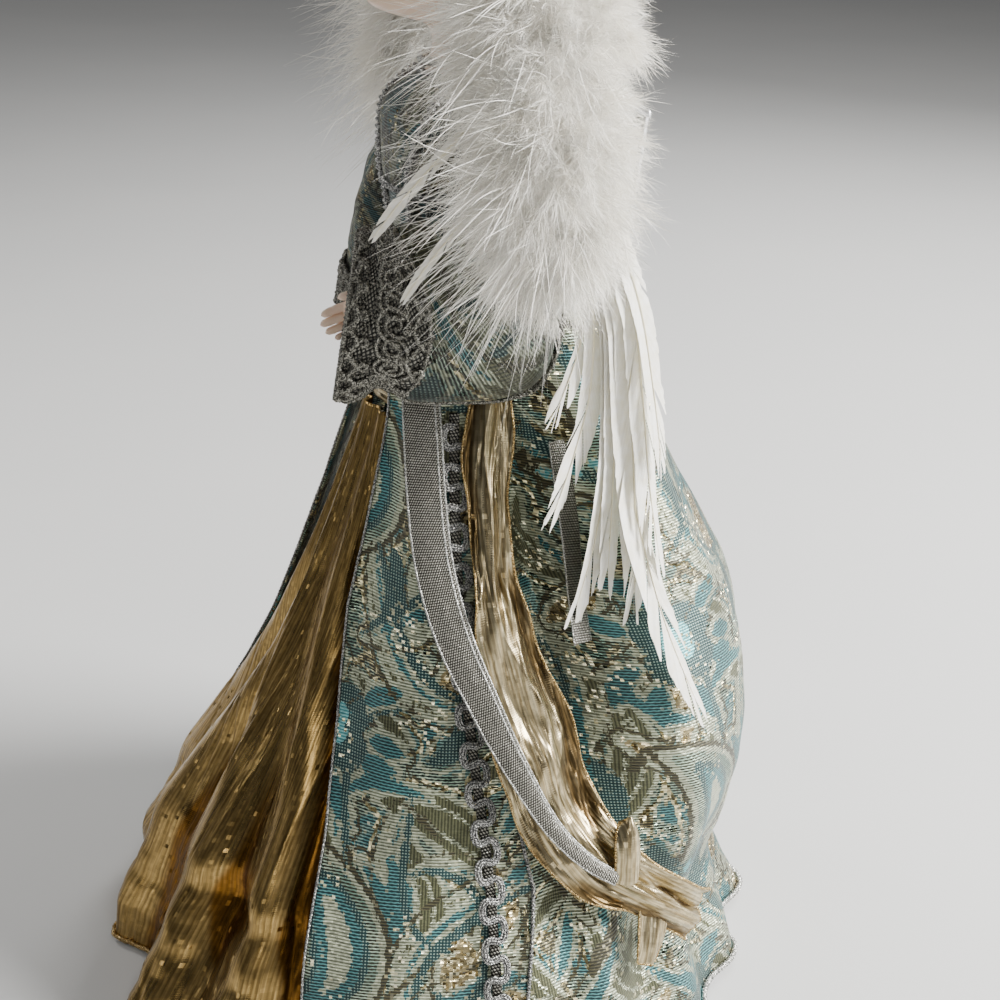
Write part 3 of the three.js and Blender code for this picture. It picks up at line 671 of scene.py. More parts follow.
def area_light(name, where, target, size, power, colour):
    data = bpy.data.lights.new(name, "AREA")
    data.shape, data.size, data.energy, data.color = "DISK", size, power, colour
    ob = bpy.data.objects.new(name, data)
    scene.collection.objects.link(ob)
    where, target = Vector(where), Vector(target)
    ob.matrix_world = Matrix.Translation(where) @ (target - where).to_track_quat("-Z", "Y").to_matrix().to_4x4()
    return ob


def from_view(side, toward, height):
    """A point right of, toward and above the camera's view of the figure, in metres."""
    p = right * side - look_flat * toward
    return (p[0], p[1], height)


MIDDLE = (0.0, 0.0, 0.17)
area_light("key", from_view(1.1, 0.12, 0.85), MIDDLE, 0.6, 62.0, (1.0, 0.985, 0.96))
area_light("high", from_view(0.35, 0.75, 1.3), MIDDLE, 0.4, 1.3, (1.0, 0.99, 0.97))
area_light("spark", from_view(0.1, 1.0, 0.62), MIDDLE, 0.09, 1.3, (1.0, 0.97, 0.9))
area_light("fill", from_view(-0.9, 0.2, 0.68), MIDDLE, 0.25, 1.4, (0.97, 0.98, 1.0))
area_light("rim", from_view(0.5, -1.0, 0.9), MIDDLE, 0.6, 9.0, (1.0, 0.99, 0.97))
area_light("low", from_view(-0.75, -0.45, 0.75), MIDDLE, 0.3, 2.6, (1.0, 0.97, 0.93))

world = bpy.data.worlds.new("studio")
scene.world = world
world.use_nodes = True
wt = world.node_tree
wt.nodes.clear()
wo = wt.nodes.new("ShaderNodeOutputWorld")
wb = wt.nodes.new("ShaderNodeBackground")
wc = wt.nodes.new("ShaderNodeTexCoord")
wd = wt.nodes.new("ShaderNodeVectorMath")
wd.operation = "DOT_PRODUCT"
wd.inputs[1].default_value = tuple(unit(right * 1.0 + up * 0.55))
wr = wt.nodes.new("ShaderNodeValToRGB")
wr.color_ramp.elements[0].position, wr.color_ramp.elements[0].color = 0.0, (0.10, 0.105, 0.115, 1.0)
wr.color_ramp.elements[1].position, wr.color_ramp.elements[1].color = 1.0, (1.0, 0.99, 0.97, 1.0)
middle_stop = wr.color_ramp.elements.new(0.5)
middle_stop.color = (0.34, 0.345, 0.355, 1.0)
ws = wt.nodes.new("ShaderNodeMath")
ws.operation = "MULTIPLY_ADD"
ws.inputs[1].default_value, ws.inputs[2].default_value = 0.5, 0.5
wt.links.new(wc.outputs["Generated"], wd.inputs[0])
wt.links.new(wd.outputs["Value"], ws.inputs[0])
wt.links.new(ws.outputs[0], wr.inputs[0])
wt.links.new(wr.outputs[0], wb.inputs[0])
wb.inputs[1].default_value = 0.24
wt.links.new(wb.outputs[0], wo.inputs[0])

fs = Shade("pale_floor")
fn = fs.noise(fs.place(), 6.0, 3.0)
floor_material = fs.surface(Base_Color=fs.mix(fn, srgb(206, 207, 207), srgb(214, 214, 213)), Roughness=0.75)
floor = bpy.data.objects.new("floor", bpy.data.meshes.new("floor"))
floor.data.from_pydata([(-9, -9, 0), (9, -9, 0), (9, 9, 0), (-9, 9, 0)], [], [(0, 1, 2, 3)])
floor.data.materials.append(floor_material)
scene.collection.objects.link(floor)

# ------------------------------------------------------------------ brocade pattern
# One repeat of a made-up leaf, flower and teardrop pattern with a half drop. Each kind of
# shape is a field of millimetres inside its edge, so that edges stay sharp when it is read.
REPEAT_W, REPEAT_H, FIELD_STEP, DRAWN = 86.0, 108.0, 0.6, 1.28
KINDS = "olive gold aqua dark core tear brown".split()


def quad_curve(p0, p1, p2, n=18):
    t = np.linspace(0, 1, n)[:, None]
    return (1 - t) ** 2 * np.array(p0, float) + 2 * t * (1 - t) * np.array(p1, float) + t * t * np.array(p2, float)


def pattern_discs():
    found = {k: [] for k in KINDS}

    def disc(kind, x, y, r):
        found[kind].append((x, y, r))

    def leaf(kind, p0, p1, p2, w, sharp=0.8, n=18):
        pts, t = quad_curve(p0, p1, p2, n), np.linspace(0, 1, n)
        for (x, y), r in zip(pts, w * np.sin(np.pi * np.clip(t, 0.02, 0.98)) ** sharp + 0.2):
            disc(kind, x, y, r)

    def band(kind, pts, w):
        for x, y in pts:
            disc(kind, x, y, w)

    rng = np.random.default_rng(12)
    for k in range(9):                       # a dark rosette with strokes of aqua round it
        a = math.radians(40 * k + rng.uniform(-11, 11))
        r0, r1 = rng.uniform(9.5, 11.5), rng.uniform(19.0, 24.5)
        b = a + rng.uniform(-0.15, 0.35)
        leaf("aqua", (r0 * math.cos(a), r0 * math.sin(a)), (0.7 * r1 * math.cos(a), 0.7 * r1 * math.sin(a)),
             (r1 * math.cos(b), r1 * math.sin(b)), 2.6, 0.7, 12)
    for k in range(4):
        a = math.radians(45 + 90 * k)
        disc("dark", 6.2 * math.cos(a), 6.2 * math.sin(a), rng.uniform(5.2, 6.2))
    disc("dark", 0, 0, 6.5)
    for x, y in ((2.4, 2.2), (-2.4, 2.0), (2.2, -2.3), (-2.3, -2.2), (0, 0)):
        disc("core", x, y, 2.5)
    leaf("gold", (30, 12), (46, 24), (45, 52), 11.5, 0.62)
    ang = np.radians(np.linspace(-42, 205, 46))
    band("aqua", np.stack([43 + 17.5 * np.cos(ang), 33 + 19.0 * np.sin(ang)], 1), 2.1)
    leaf("olive", (13, -14), (32, -12), (43, -35), 5.4)
    leaf("olive", (-11, 17), (-27, 20), (-35, 45), 5.2)
    leaf("olive", (-15, -10), (-34, -10), (-41, -36), 4.9)
    leaf("olive", (64, 8), (74, 22), (68, 47), 4.6)
    leaf("olive", (22, 56), (31, 68), (19, 88), 4.6)
    leaf("olive", (4, -24), (-6, -34), (4, -50), 4.0)
    t = np.linspace(0, 1, 26)
    tear = along([[-16, 45, 1.6], [-4, 44, 6], [6, 52, 10.6], [6, 64, 11.4], [-2, 76, 7], [-12, 82, 2], [-16, 78, 1.2]], t)
    for x, y, r in tear:
        disc("tear", x, y, r)
    leaf("aqua", (-30, 58), (-20, 74), (-34, 94), 3.8)
    leaf("aqua", (16, -26), (24, -36), (16, -50), 3.2)
    leaf("dark", (25, -4), (34, 0), (33, 10), 2.8)
    leaf("dark", (-24, -28), (-17, -40), (-27, -54), 3.4)
    leaf("dark", (12, 27), (19, 35), (14, 44), 2.6)
    leaf("gold", (-48, 4), (-40, 14), (-46, 26), 4.6)
    leaf("gold", (30, -44), (38, -52), (30, -62), 4.8)
    for k in range(5):
        x, y = 50 + 4.2 * k, -22 + 3.2 * k
        leaf("brown", (x, y), (x + 1.2, y + 3), (x + 3.4, y + 6.4), 1.35, 0.4, 8)
    for k in range(4):
        x, y = -26 + 3.6 * k, 49 - 1.5 * k
        leaf("brown", (x, y), (x + 0.6, y + 2), (x + 1.6, y + 4.6), 1.3, 0.4, 8)
    for k in range(5):
        disc("core", -20 + 4.4 * k, -64 + 1.6 * abs(k - 2), 1.5)
    kinds = ["aqua"] * 8 + ["olive"] * 8 + ["brown"] * 4 + ["dark"] * 3 + ["gold"] * 4
    widths = {"aqua": 2.1, "olive": 2.4, "brown": 0.9, "dark": 1.8, "gold": 2.8}

    def flow(x, y):
        return 1.7 * math.sin(TAU * x / REPEAT_W + 1.0) + 1.5 * math.cos(TAU * (y / REPEAT_H + 0.5 * x / REPEAT_W)) + 0.6

    taken = []
    for _ in range(400):                     # scrolls of bands that run side by side and curl in at the end
        x, y = rng.uniform(0, REPEAT_W), rng.uniform(0, REPEAT_H)
        if len(taken) == 9:
            break
        if any(math.hypot((x - i + REPEAT_W / 2) % REPEAT_W - REPEAT_W / 2, (y - j + REPEAT_H / 2) % REPEAT_H - REPEAT_H / 2) < 22 for i, j in taken):
            continue
        taken.append((x, y))
        a, turn_way, length, wide = rng.uniform(0, TAU), rng.choice([-1.0, 1.0]), rng.uniform(42, 66), rng.uniform(0.8, 1.1)
        n = int(length / 1.2)
        for t in np.linspace(0, 1, n):
            full = math.sin(math.pi * min(max(t ** 0.8, 0.02), 0.98)) ** 0.6
            for kind, off, w in (("dark", 3.9, 1.2), ("aqua", 0.9, 1.25), ("olive", -2.2, 1.1), ("brown", -4.6, 0.6)):
                off = off * wide * full * turn_way
                disc(kind, x - off * math.sin(a), y + off * math.cos(a), w * wide * (0.4 + 0.6 * full))
            a = a + 1.2 * turn_way * (0.012 + 0.10 * t ** 2)
            x, y = x + 1.2 * math.cos(a), y + 1.2 * math.sin(a)
    taken = []
    while len(taken) < 30:                   # curved strokes that follow one another like feathers
        x, y = rng.uniform(0, REPEAT_W), rng.uniform(0, REPEAT_H)
        if any(math.hypot((x - i + REPEAT_W / 2) % REPEAT_W - REPEAT_W / 2, y - j) < 11 for i, j in taken):
            continue
        taken.append((x, y))
        kind = kinds[int(rng.integers(len(kinds)))]
        n = int(rng.integers(12, 22))
        a, bow = flow(x, y) + rng.normal(0, 0.2), rng.normal(0, 0.05)
        for k, t in enumerate(np.linspace(0, 1, n)):
            w = widths[kind] * (0.35 + 0.65 * math.sin(math.pi * min(max(t, 0.03), 0.97)) ** 0.8)
            disc(kind, x, y, w)
            a = a + bow + 0.25 * (flow(x, y) - a) * 0.3
            x, y = x + 1.35 * math.cos(a), y + 1.35 * math.sin(a)
    return {k: np.array(x) for k, x in found.items()}


def pattern_fields():
    nx, ny = int(round(2 * REPEAT_W / FIELD_STEP)), int(round(REPEAT_H / FIELD_STEP))
    gx, gy = np.meshgrid(np.arange(nx) * FIELD_STEP, np.arange(ny) * FIELD_STEP)
    fields = {}
    for kind, discs in pattern_discs().items():
        f = np.full(gx.shape, -8.0, np.float32)
        for i in range(-1, 4):
            for j in range(-2, 3):
                ox, oy = i * REPEAT_W, j * REPEAT_H + (i % 2) * REPEAT_H / 2
                for x, y, r in discs:
                    cx, cy = x + ox, y + oy
                    reach = r + 8
                    i0, i1 = int((cx - reach) / FIELD_STEP), int((cx + reach) / FIELD_STEP) + 2
                    j0, j1 = int((cy - reach) / FIELD_STEP), int((cy + reach) / FIELD_STEP) + 2
                    i0, i1, j0, j1 = max(i0, 0), min(i1, nx), max(j0, 0), min(j1, ny)
                    if i0 >= i1 or j0 >= j1:
                        continue
                    part = f[j0:j1, i0:i1]
                    np.maximum(part, r - np.hypot(gx[j0:j1, i0:i1] - cx, gy[j0:j1, i0:i1] - cy), out=part)
        fields[kind] = f
    return fields


FIELDS = pattern_fields()


def brocade_attrs(u, v):
    """Pattern fields at cloth places u, v in millimetres."""
    any_field = FIELDS["olive"]
    ny, nx = any_field.shape
    x, y = (np.ravel(u) / DRAWN / FIELD_STEP) % nx, (np.ravel(v) / DRAWN / FIELD_STEP) % ny
    i, j = np.floor(x).astype(int) % nx, np.floor(y).astype(int) % ny
    fx, fy = x - np.floor(x), y - np.floor(y)
    i1, j1 = (i + 1) % nx, (j + 1) % ny

    def at(kind):
        f = FIELDS[kind]
        return (f[j, i] * (1 - fx) + f[j, i1] * fx) * (1 - fy) + (f[j1, i] * (1 - fx) + f[j1, i1] * fx) * fy

    return {"field_a": np.stack([at("olive"), at("gold"), at("aqua")], 1),
            "field_b": np.stack([at("dark"), at("core"), at("tear")], 1),
            "field_c": at("brown")}


def cloth(name, points, u, v, material, pattern=False, wrap=False, deep=None, **rest):
    """A sheet from a grid of points, with cloth places u, v in millimetres."""
    nv, nu = points.shape[:2]
    uv = np.stack([np.ravel(u), np.ravel(v)], 1) * 0.01
    return make(name, points, grid_faces(nv, nu, wrap), material, uv=uv, attrs=brocade_attrs(u, v) if pattern else {"deep": np.ravel(deep)} if deep is not None else None, **rest)


# ------------------------------------------------------------------ skirt surface
def rounded(rows, sigma=5.0):
    z = np.arange(-40.0, 341.0)
    rows = np.array(rows, float)
    r = np.interp(z, rows[:, 0], rows[:, 1])
    low = z < rows[0, 0]
    r[low] = rows[0, 1] - (z[low] - rows[0, 0]) * 0.2
    k = np.exp(-0.5 * (np.arange(-20, 21) / sigma) ** 2)
    return z, np.convolve(np.pad(r, 20, mode="edge"), k / k.sum(), "valid")


FRONT = rounded([[0, 108], [5, 107], [12, 105.5], [30, 99], [49, 94], [70, 80], [90, 67.5], [115, 54], [137, 45], [165, 34], [198, 23], [210, 22]])
SIDE = rounded([[0, 106], [20, 101], [49, 90], [70, 80], [90, 71], [115, 61], [137, 53], [165, 43], [198, 30], [215, 28], [285, 28]])
BACK = rounded([[0, 106], [8, 104.5], [25, 98], [41, 95], [57, 94.5], [80, 98.5], [106, 101], [120, 98.5], [137, 94], [171, 76], [204, 61], [240, 45], [262, 36], [275, 31], [285, 29]])
COAT_FRONT_EDGE = np.array([[0, 48], [37, 47], [82, 44.5], [111, 40], [144, 34], [200, 36]], float)
COAT_REAR_EDGE = np.array([[0, 86], [39, 86.5], [71, 90], [106, 87], [141, 84], [169, 84], [203, 86]], float)
BRAID_MIDDLE = np.array([[0, 81], [47, 81.1], [70, 81.2], [89, 80.5], [109, 79], [128, 77.7], [148, 76.8], [165, 76], [182, 75.8], [204, 76.4]], float)
COAT_OUT = 4.2


def wrap_deg(deg):
    return (np.asarray(deg, float) + 180) % 360 - 180


def skirt_r(deg, z):
    a = np.abs(wrap_deg(deg))
    k1, k2 = smooth(35, 75, a), smooth(92, 140, a)
    f, s, b = (np.interp(z, *t) for t in (FRONT, SIDE, BACK))
    return (f * (1 - k1) + s * k1) * (1 - k2) + b * k2


def on_skirt(deg, z, off=0.0):
    deg, z = np.broadcast_arrays(np.asarray(deg, float), np.asarray(z, float))
    r, t = skirt_r(deg, z) + off, np.radians(deg)
    return np.stack([r * np.sin(t), -r * np.cos(t), z], -1)


def outward(p):
    """Outward direction of the skirt near points p, leaning up a little."""
    q = np.array(p, float)
    q[..., 2] = 0
    q = unit(q)
    q[..., 2] = 0.3
    return unit(q)


def slant(deg):
    """Cloth length up the skirt from the hem, as a function of height."""
    z = np.arange(0.0, 291.0)
    r = skirt_r(deg, z)
    s = np.concatenate([[0], np.cumsum(np.hypot(np.diff(z), np.diff(r)))])
    return lambda x: np.interp(x, z, s)


def edge_at(rows, z):
    return np.interp(z, rows[:, 0], rows[:, 1])


# -- gold front panel: soft pleats that widen to the hem, a billow at the left of the hem
def front_fold(deg, z):
    d = edge_at(COAT_FRONT_EDGE, z) - np.abs(deg)
    side = np.sign(deg)
    low = 1 - smooth(0, 190, z)
    sway = 3.2 * noise2(z / 70.0, side * 3 + 5.5, 3) + 2.2 * noise2(deg / 20.0, z / 90.0, 8)
    size = 1.0 + 0.5 * noise2(deg / 14.0, z / 120.0, 21)
    f = -np.cos(TAU * (d - 4.5 + sway) / 21.0) * (1.0 + 4.4 * low) * size
    part = np.sin(math.pi * (deg + 1.8 * sway) / 9.5 + 0.5 * noise2(deg / 7.0, z / 90.0, 9))
    f = f + (0.2 + 0.8 * low) * (1 - 2 * np.abs(part) ** 0.8) * (0.7 + 0.6 * noise2(deg / 6.0, z / 110.0, 24))
    for k, (slope, wide, deep) in enumerate(((0.06, 3.1, 0.8), (0.16, 4.1, 0.9), (-0.05, 3.6, 0.6))):
        crease = np.abs(noise2((deg + slope * z) / wide, z / 70.0, 27 + k))
        f = f - deep * smooth(0.12, 0.0, crease) * smooth(-0.3, 0.3, noise2(deg / 9.0, z / 40.0, 57 + k)) * (0.35 + 0.65 * low)
    f = f - 4.2 * bump(d, 5.0, 3.4) * smooth(5, 40, z) * smooth(200, 150, z)
    f = f + 9.5 * bump(deg, 24, 13) * smooth(42, 5, z) - 4.6 * bump(deg, 24, 18) * bump(z, 48, 7.0)
    f = f + 4.5 * bump(deg, -27, 13) * bump(z, 22, 12) - 2.8 * bump(deg, -27, 16) * bump(z, 43, 8)
    f = f + 3.0 * smooth(62, 15, z) * fbm(deg / 8.0 + z / 40.0, z / 11.0, 33, 2)
    arc = deg * 1.15
    f = f + 0.9 * fbm(arc / 9.0 + z / 60.0, z / 50.0, 37, 2)
    under = smooth(4.0, -1.0, d)                       # tucked under the coat
    return f * (1 - under) + under * np.minimum(f, 0.6) * 0.6


nu, nv = 280, 170
deg, z = np.meshgrid(np.linspace(-50, 50, nu), np.linspace(1.1, 198.4, nv))
fold = front_fold(deg, z)
pts = on_skirt(deg, z, fold)
pts[..., 2] += np.where(z < 14, (0.9 * noise2(deg / 7.0, 0.5, 4)) * (1 - z / 14), 0)
pts[..., 2] = np.maximum(pts[..., 2], 0.5)
# deep is painted shade where the pleats fold inward
gold_panel = cloth("gold_front_panel_cloth", pts, deg * 1.5, slant(0)(z), GOLD, deep=smooth(-0.5, -5.5, fold), node="gold_front_panel", slot="gold_lame", solid=0.5)

hem = np.linspace(-46, 46, 260)
pile = Pile()
path = on_skirt(hem, np.full_like(hem, 2.6), front_fold(hem, np.full_like(hem, 2.6)) + 0.7)
cord_of(pile, path, outward, 0.85, 0.4, 1.3, sides=7, strands=2)
v, f, _ = pile.parts()
hem_front = make("hem_cord_front_twist", v, f, GOLD_CORD, node="hem_cord_front", slot="gold_lame")


# -- back cape: puffed, with a deep valley behind each coat panel and flutes at the hem
def cape_fold(deg, z):
    a = np.abs(wrap_deg(deg))                          # 78 at the coat, 180 at the back
    side = np.sign(wrap_deg(deg))
    clear = smooth(88, 100, a)
    low = 1 - smooth(0, 120, z)
    f = -9.0 * bump(a, 106, 8.0) * smooth(40, 110, z) * smooth(205, 180, z)
    f = f + (2.6 * low + 0.8) * np.sin(TAU * (a - 96) / 21.0 + 1.3 * noise2(z / 55.0, side + 0.5, 5)) * clear
    f = f + 2.6 * fbm(a / 17.0, z / 46.0 + 9 * (side > 0), 12, 2) * clear
    f = f + 0.75 * fbm(a / 4.2 + z / 22.0, z / 15.0, 15, 2) * smooth(84, 96, a)
    f = f - 2.4 * bump(z, 44, 9) * bump(a, 138, 22) + 3.0 * bump(z, 84, 24) * bump(a, 132, 16)
    f = f + 1.8 * smooth(16, 2, z) * np.sin(a / 5.3 + side) - 3.2 * bump(a, 138, 16) * smooth(60, 25, z)
    f = f + smooth(190, 204, z) * 4.0 * smooth(104, 92, a)      # over the sash at the side
    f = f * (1 - 0.6 * smooth(205, 260, z))
    return np.where((a < 92) & (z < 186), np.minimum(f, 1.6), f)


nu, nv = 236, 176
u01, v01 = np.meshgrid(np.linspace(0, 1, nu), np.linspace(0, 1, nv))
deg = 78 + 204 * u01
a = np.abs(wrap_deg(deg))
top = 206 + smooth(93, 135, a) * 66
z = 1.0 + v01 * (top - 1.0)
pts = on_skirt(deg, z, cape_fold(deg, z))
pts[..., 2] = np.maximum(pts[..., 2] + np.where(z < 10, 0.7 * noise2(deg / 6.0, 0.5, 6), 0), 0.5)
length = slant(135)(z)
width = (a - 135) * math.pi / 180 * skirt_r(135, z)
cape = cloth("back_cape_cloth", pts, width + 11, length, BROCADE, True, node="back_cape", slot="brocade", solid=0.7)

hem = np.linspace(90, 270, 420)
low = np.full_like(hem, 3.0)
pile = Pile()
cord_of(pile, on_skirt(hem, low, cape_fold(hem, low) + 1.0), outward, 0.95, 0.4, 1.5, 0.3, 7)
v, f, _ = pile.parts()
hem_back = make("hem_cord_back_beads", v, f, BRIGHT_SILVER, node="hem_cord_back", slot="silver_thread")


# -- coat panels with their gimp braid
def coat_fold(t, z):
    return 0.9 * fbm(t * 3.0, z / 38.0, 41, 2) + 0.45 * fbm(t * 9.0 + z / 30.0, z / 16.0, 43, 2) + 0.8 * bump(t, 0.0, 0.07) + 0.9 * bump(t, 1, 0.05)


def coat_point(t, z, off=0.0):
    a, b = edge_at(COAT_FRONT_EDGE, z), edge_at(COAT_REAR_EDGE, z)
    return on_skirt(a + t * (b - a), z, COAT_OUT + off + coat_fold(t, z))


nu, nv = 66, 176
t, z = np.meshgrid(np.linspace(0, 1, nu), np.linspace(1.0, 208.6, nv))
a, b = edge_at(COAT_FRONT_EDGE, z), edge_at(COAT_REAR_EDGE, z)
coat_pts = coat_point(t, z)
coat_u = (a + t * (b - a) - 66) * math.pi / 180 * skirt_r(66, z)
coat_v = slant(66)(z)
MIRROR = np.array([-1.0, 1.0, 1.0])

# the braid's centre line, and its horseshoe meander
bz = np.linspace(3.4, 205.5, 600)
b_mid = on_skirt(edge_at(BRAID_MIDDLE, bz), bz, COAT_OUT + 1.7)
b_s = np.concatenate([[0], np.cumsum(np.linalg.norm(np.diff(b_mid, axis=0), axis=1))])
b_out = outward(b_mid)
b_side = unit(np.cross(unit(np.gradient(b_mid, axis=0)), b_out))
period = 11.8
turns = int(b_s[-1] / period)
phi = np.linspace(0, TAU * turns, turns * 60)
ms = period * phi / TAU - 1.45 * np.sin(2 * phi)
mx = 3.3 * np.sin(phi)


def on_braid(s, x, lift=0.0):
    pick = lambda arr: np.stack([np.interp(s, b_s, arr[:, k]) for k in range(3)], -1)
    return pick(b_mid) + pick(b_side) * np.asarray(x)[..., None] + pick(b_out) * np.asarray(lift)[..., None]


def braid_mesh():
    pile = Pile()
    ds, dx = np.gradient(ms), np.gradient(mx)
    ln = np.hypot(ds, dx)
    ns, nx = -dx / ln, ds / ln
    for k in (-1, 0, 1):
        lift = 0.55 + 0.5 * np.cos(phi + 0.6) + (0.22 if k == 0 else 0.0)
        p = on_braid(ms + ns * 0.72 * k, mx + nx * 0.72 * k, lift)
        cord_of(pile, p, outward, 0.44, 0.3, 0.9, 0.26, 6)
    v, f, _ = pile.parts()
    return v, f


def braid_tape():
    s, x = np.meshgrid(np.linspace(0, b_s[-1], 300), np.linspace(-1.5, 1.5, 7), indexing="ij")
    return on_braid(s, x, np.full(s.shape, -0.2)), s, x


braid_v, braid_f = braid_mesh()
tape_p, tape_s, tape_x = braid_tape()
picot = Pile()
p_edge = coat_point(np.full(560, 1.0), np.linspace(2.2, 207.5, 560), 0.2)
cord_of(picot, p_edge, outward, 0.62, 0.35, 1.25, 0.34, 6)
f_edge = coat_point(np.full(560, 0.0), np.linspace(2.2, 207.5, 560), 0.2)
cord_of(picot, f_edge, outward, 0.42, 0.4, 1.6, 0.2, 6)
h_edge = coat_point(np.linspace(0, 1, 200), np.full(200, 2.0), 0.2)
cord_of(picot, h_edge, outward, 0.6, 0.35, 1.3, 0.3, 6)
picot_v, picot_f, _ = picot.parts()

for side, flip in (("left", np.ones(3)), ("right", MIRROR)):
    def turn(faces):
        return [f if flip[0] > 0 else f[:, ::-1] for f in (faces if isinstance(faces, list) else [faces])]
    uv = np.stack([coat_u.ravel() + 30, coat_v.ravel() + 18], 1) * 0.01
    coat = make(f"coat_panel_{side}_cloth", coat_pts * flip, turn(grid_faces(*coat_pts.shape[:2])), BROCADE, uv=uv,
                attrs=brocade_attrs(coat_u + 30, coat_v + 18), node=f"coat_panel_{side}", slot="brocade", solid=0.7)
    gimp = make(f"gimp_braid_{side}_cord", braid_v * flip, turn(braid_f), SILVER, node=f"gimp_braid_{side}", slot="silver_thread")
    tape = make(f"gimp_tape_{side}", tape_p * flip, turn(grid_faces(*tape_p.shape[:2])), LACE_GROUND,
                uv=np.stack([tape_x.ravel(), tape_s.ravel()], 1) * 0.01, slot="silver_thread", solid=0.4)
    edge = make(f"coat_edge_{side}", picot_v * flip, turn(picot_f), SILVER, slot="silver_thread")


# ------------------------------------------------------------------ ribbon streamers
def ribbon(rows, n, across, sag, lean=0.25, waver=0.0):
    """Strip along rows of bearing, height, stand-off, width. sag(x, s) is the stand-off of the strip
    at x from -1 to 1 across it and s millimetres along it."""
    q = along(rows, np.linspace(0, 1, n))
    mid = on_skirt(q[:, 0], q[:, 1], q[:, 2])
    s = np.concatenate([[0], np.cumsum(np.linalg.norm(np.diff(mid, axis=0), axis=1))])
    t = unit(np.gradient(mid, axis=0))
    deg = np.radians(q[:, 0])
    n_out = unit(np.stack([np.sin(deg), -np.cos(deg), np.full(n, lean)], 1))
    n_out = unit(n_out - (n_out * t).sum(1, keepdims=True) * t)
    wide = unit(np.cross(n_out, t))
    x = np.linspace(-1, 1, across)
    xx, ss = np.meshgrid(x, s)
    q[:, 3] *= 1 + waver * noise2(s / 17.0, 0.5, 58)
    mid = mid + wide * (waver * 5.0 * noise2(s / 21.0, 3.5, 59) * smooth(6, 30, s))[:, None]
    p = mid[:, None] + wide[:, None] * (xx * q[:, 3:4] / 2)[..., None] + n_out[:, None] * sag(xx, ss)[..., None]
    return p, xx * q[:, 3:4] / 2, ss, n_out, wide


def strip(pile_args, name, material, **rest):
    """Several ribbon strips as one piece."""
    verts, faces, uvs, deeps, n = [], [], [], [], 0
    for p, x, s, deep in pile_args:
        verts.append(p.reshape(-1, 3))
        deeps.append(np.ravel(deep))
        faces.append(grid_faces(*p.shape[:2]) + n)
        uvs.append(np.stack([x.ravel(), s.ravel()], 1) * 0.01)
        n += p.shape[0] * p.shape[1]
    return make(name, np.concatenate(verts), np.concatenate(faces), material, uv=np.concatenate(uvs), attrs={"deep": np.concatenate(deeps)}, **rest)


SILVER_ROWS = [[59.5, 212, 6.6, 10.5], [61.5, 202, 8.2, 11], [64.6, 184, 9, 11], [68.3, 165, 9.5, 10.8], [73.9, 146.7, 11, 10.4], [80.5, 129.6, 13.6, 9], [87, 110.4, 15.4, 7], [93.1, 92.8, 15.6, 5.2], [99, 81, 15.2, 4.4], [104.5, 73.5, 14.6, 3.8]]
p1, x1, s1, n1, w1 = ribbon(SILVER_ROWS, 220, 17, lambda x, s: 0.5 * (1 - x * x) + 0.35 * np.sin(s / 17.0 + x) + 0.12 * noise2(x * 3, s / 5.0, 51))
TAIL_ROWS = [[116, 197, 1.0, 8], [114, 182, 1.5, 8], [112, 166, 2.5, 7.6], [110.3, 152, 3.2, 7.2], [109.2, 139.5, 3.8, 7]]
p2, x2, s2, n2, w2 = ribbon(TAIL_ROWS, 90, 13, lambda x, s: 0.6 * x * np.cos(s / 14.0) + 0.4 * np.sin(s / 9.0))
silver = strip([(p1, x1, s1, 0 * x1), (p2, x2, s2, 0 * x2)], "silver_ribbon_weave", SILVER_MESH, node="silver_ribbon", slot="silver_thread", solid=0.35)
pile = Pile()
for p in (p1[:, 0], p1[:, -1], p1[:, -3]):
    cord_of(pile, p + outward(p) * 0.15, outward, 0.38, 0.35, 0.8, 0.25, 5)
for p in (p2[:, 0], p2[:, -1]):
    cord_of(pile, p + outward(p) * 0.1, outward, 0.28, 0.35, 0.8, 0.25, 5)
v, f, _ = pile.parts()
silver_wire = make("silver_ribbon_edges", v, f, BRIGHT_SILVER, slot="silver_thread")

GOLD_ROWS = [[95, 212, 7, 10], [91.8, 203, 9, 12], [89.0, 190, 10.3, 13], [87.6, 178, 10.6, 13], [87.4, 165, 10.6, 13.5], [88.6, 148, 10.4, 16], [91.3, 131, 10, 20], [94, 113.5, 9.8, 25], [96.6, 98, 9.8, 26], [99.6, 85.5, 10, 23], [104, 75, 10.5, 19], [110.6, 65.5, 11, 16.5], [116.6, 57, 11, 16], [122.6, 47.5, 10.5, 16]]


def gold_sag(x, s):
    lie = 0.5 * np.sin(s / 23.0) + 0.35 * np.sin(s / 9.5 + 1.0)
    crease = 1.3 * (1 - 2 * np.abs(np.sin(2.3 * x + lie)))
    wild = smooth(36, 66, s)
    crush = 2.2 * (0.3 - np.abs(noise2(x * 2.1 + s / 34.0, s / 30.0, 61))) + 1.1 * (0.3 - np.abs(noise2(x * 3.6 - s / 22.0, s / 19.0, 62)))
    roll = 1.8 * x * np.sin(s / 25.0 + 0.7) + 1.2 * (1 - x * x)
    buckle = 2.0 * bump(s, 92, 9) * x - 1.8 * bump(s, 62, 8) * x + 2.2 * bump(s, 112, 9) * (1 - x * x)
    facet = 1.7 * (0.25 - np.abs(noise2(x * 2.8 + s / 22.0, s / 26.0, 64))) + 0.5 * (0.25 - np.abs(noise2(x * 5.0 - s / 14.0, s / 16.0, 65)))
    return crease + crush * (0.3 + 0.7 * wild) + facet * (0.5 + 0.5 * wild) + roll + buckle


p1, x1, s1, n1, w1 = ribbon(GOLD_ROWS, 300, 49, gold_sag, waver=0.3)
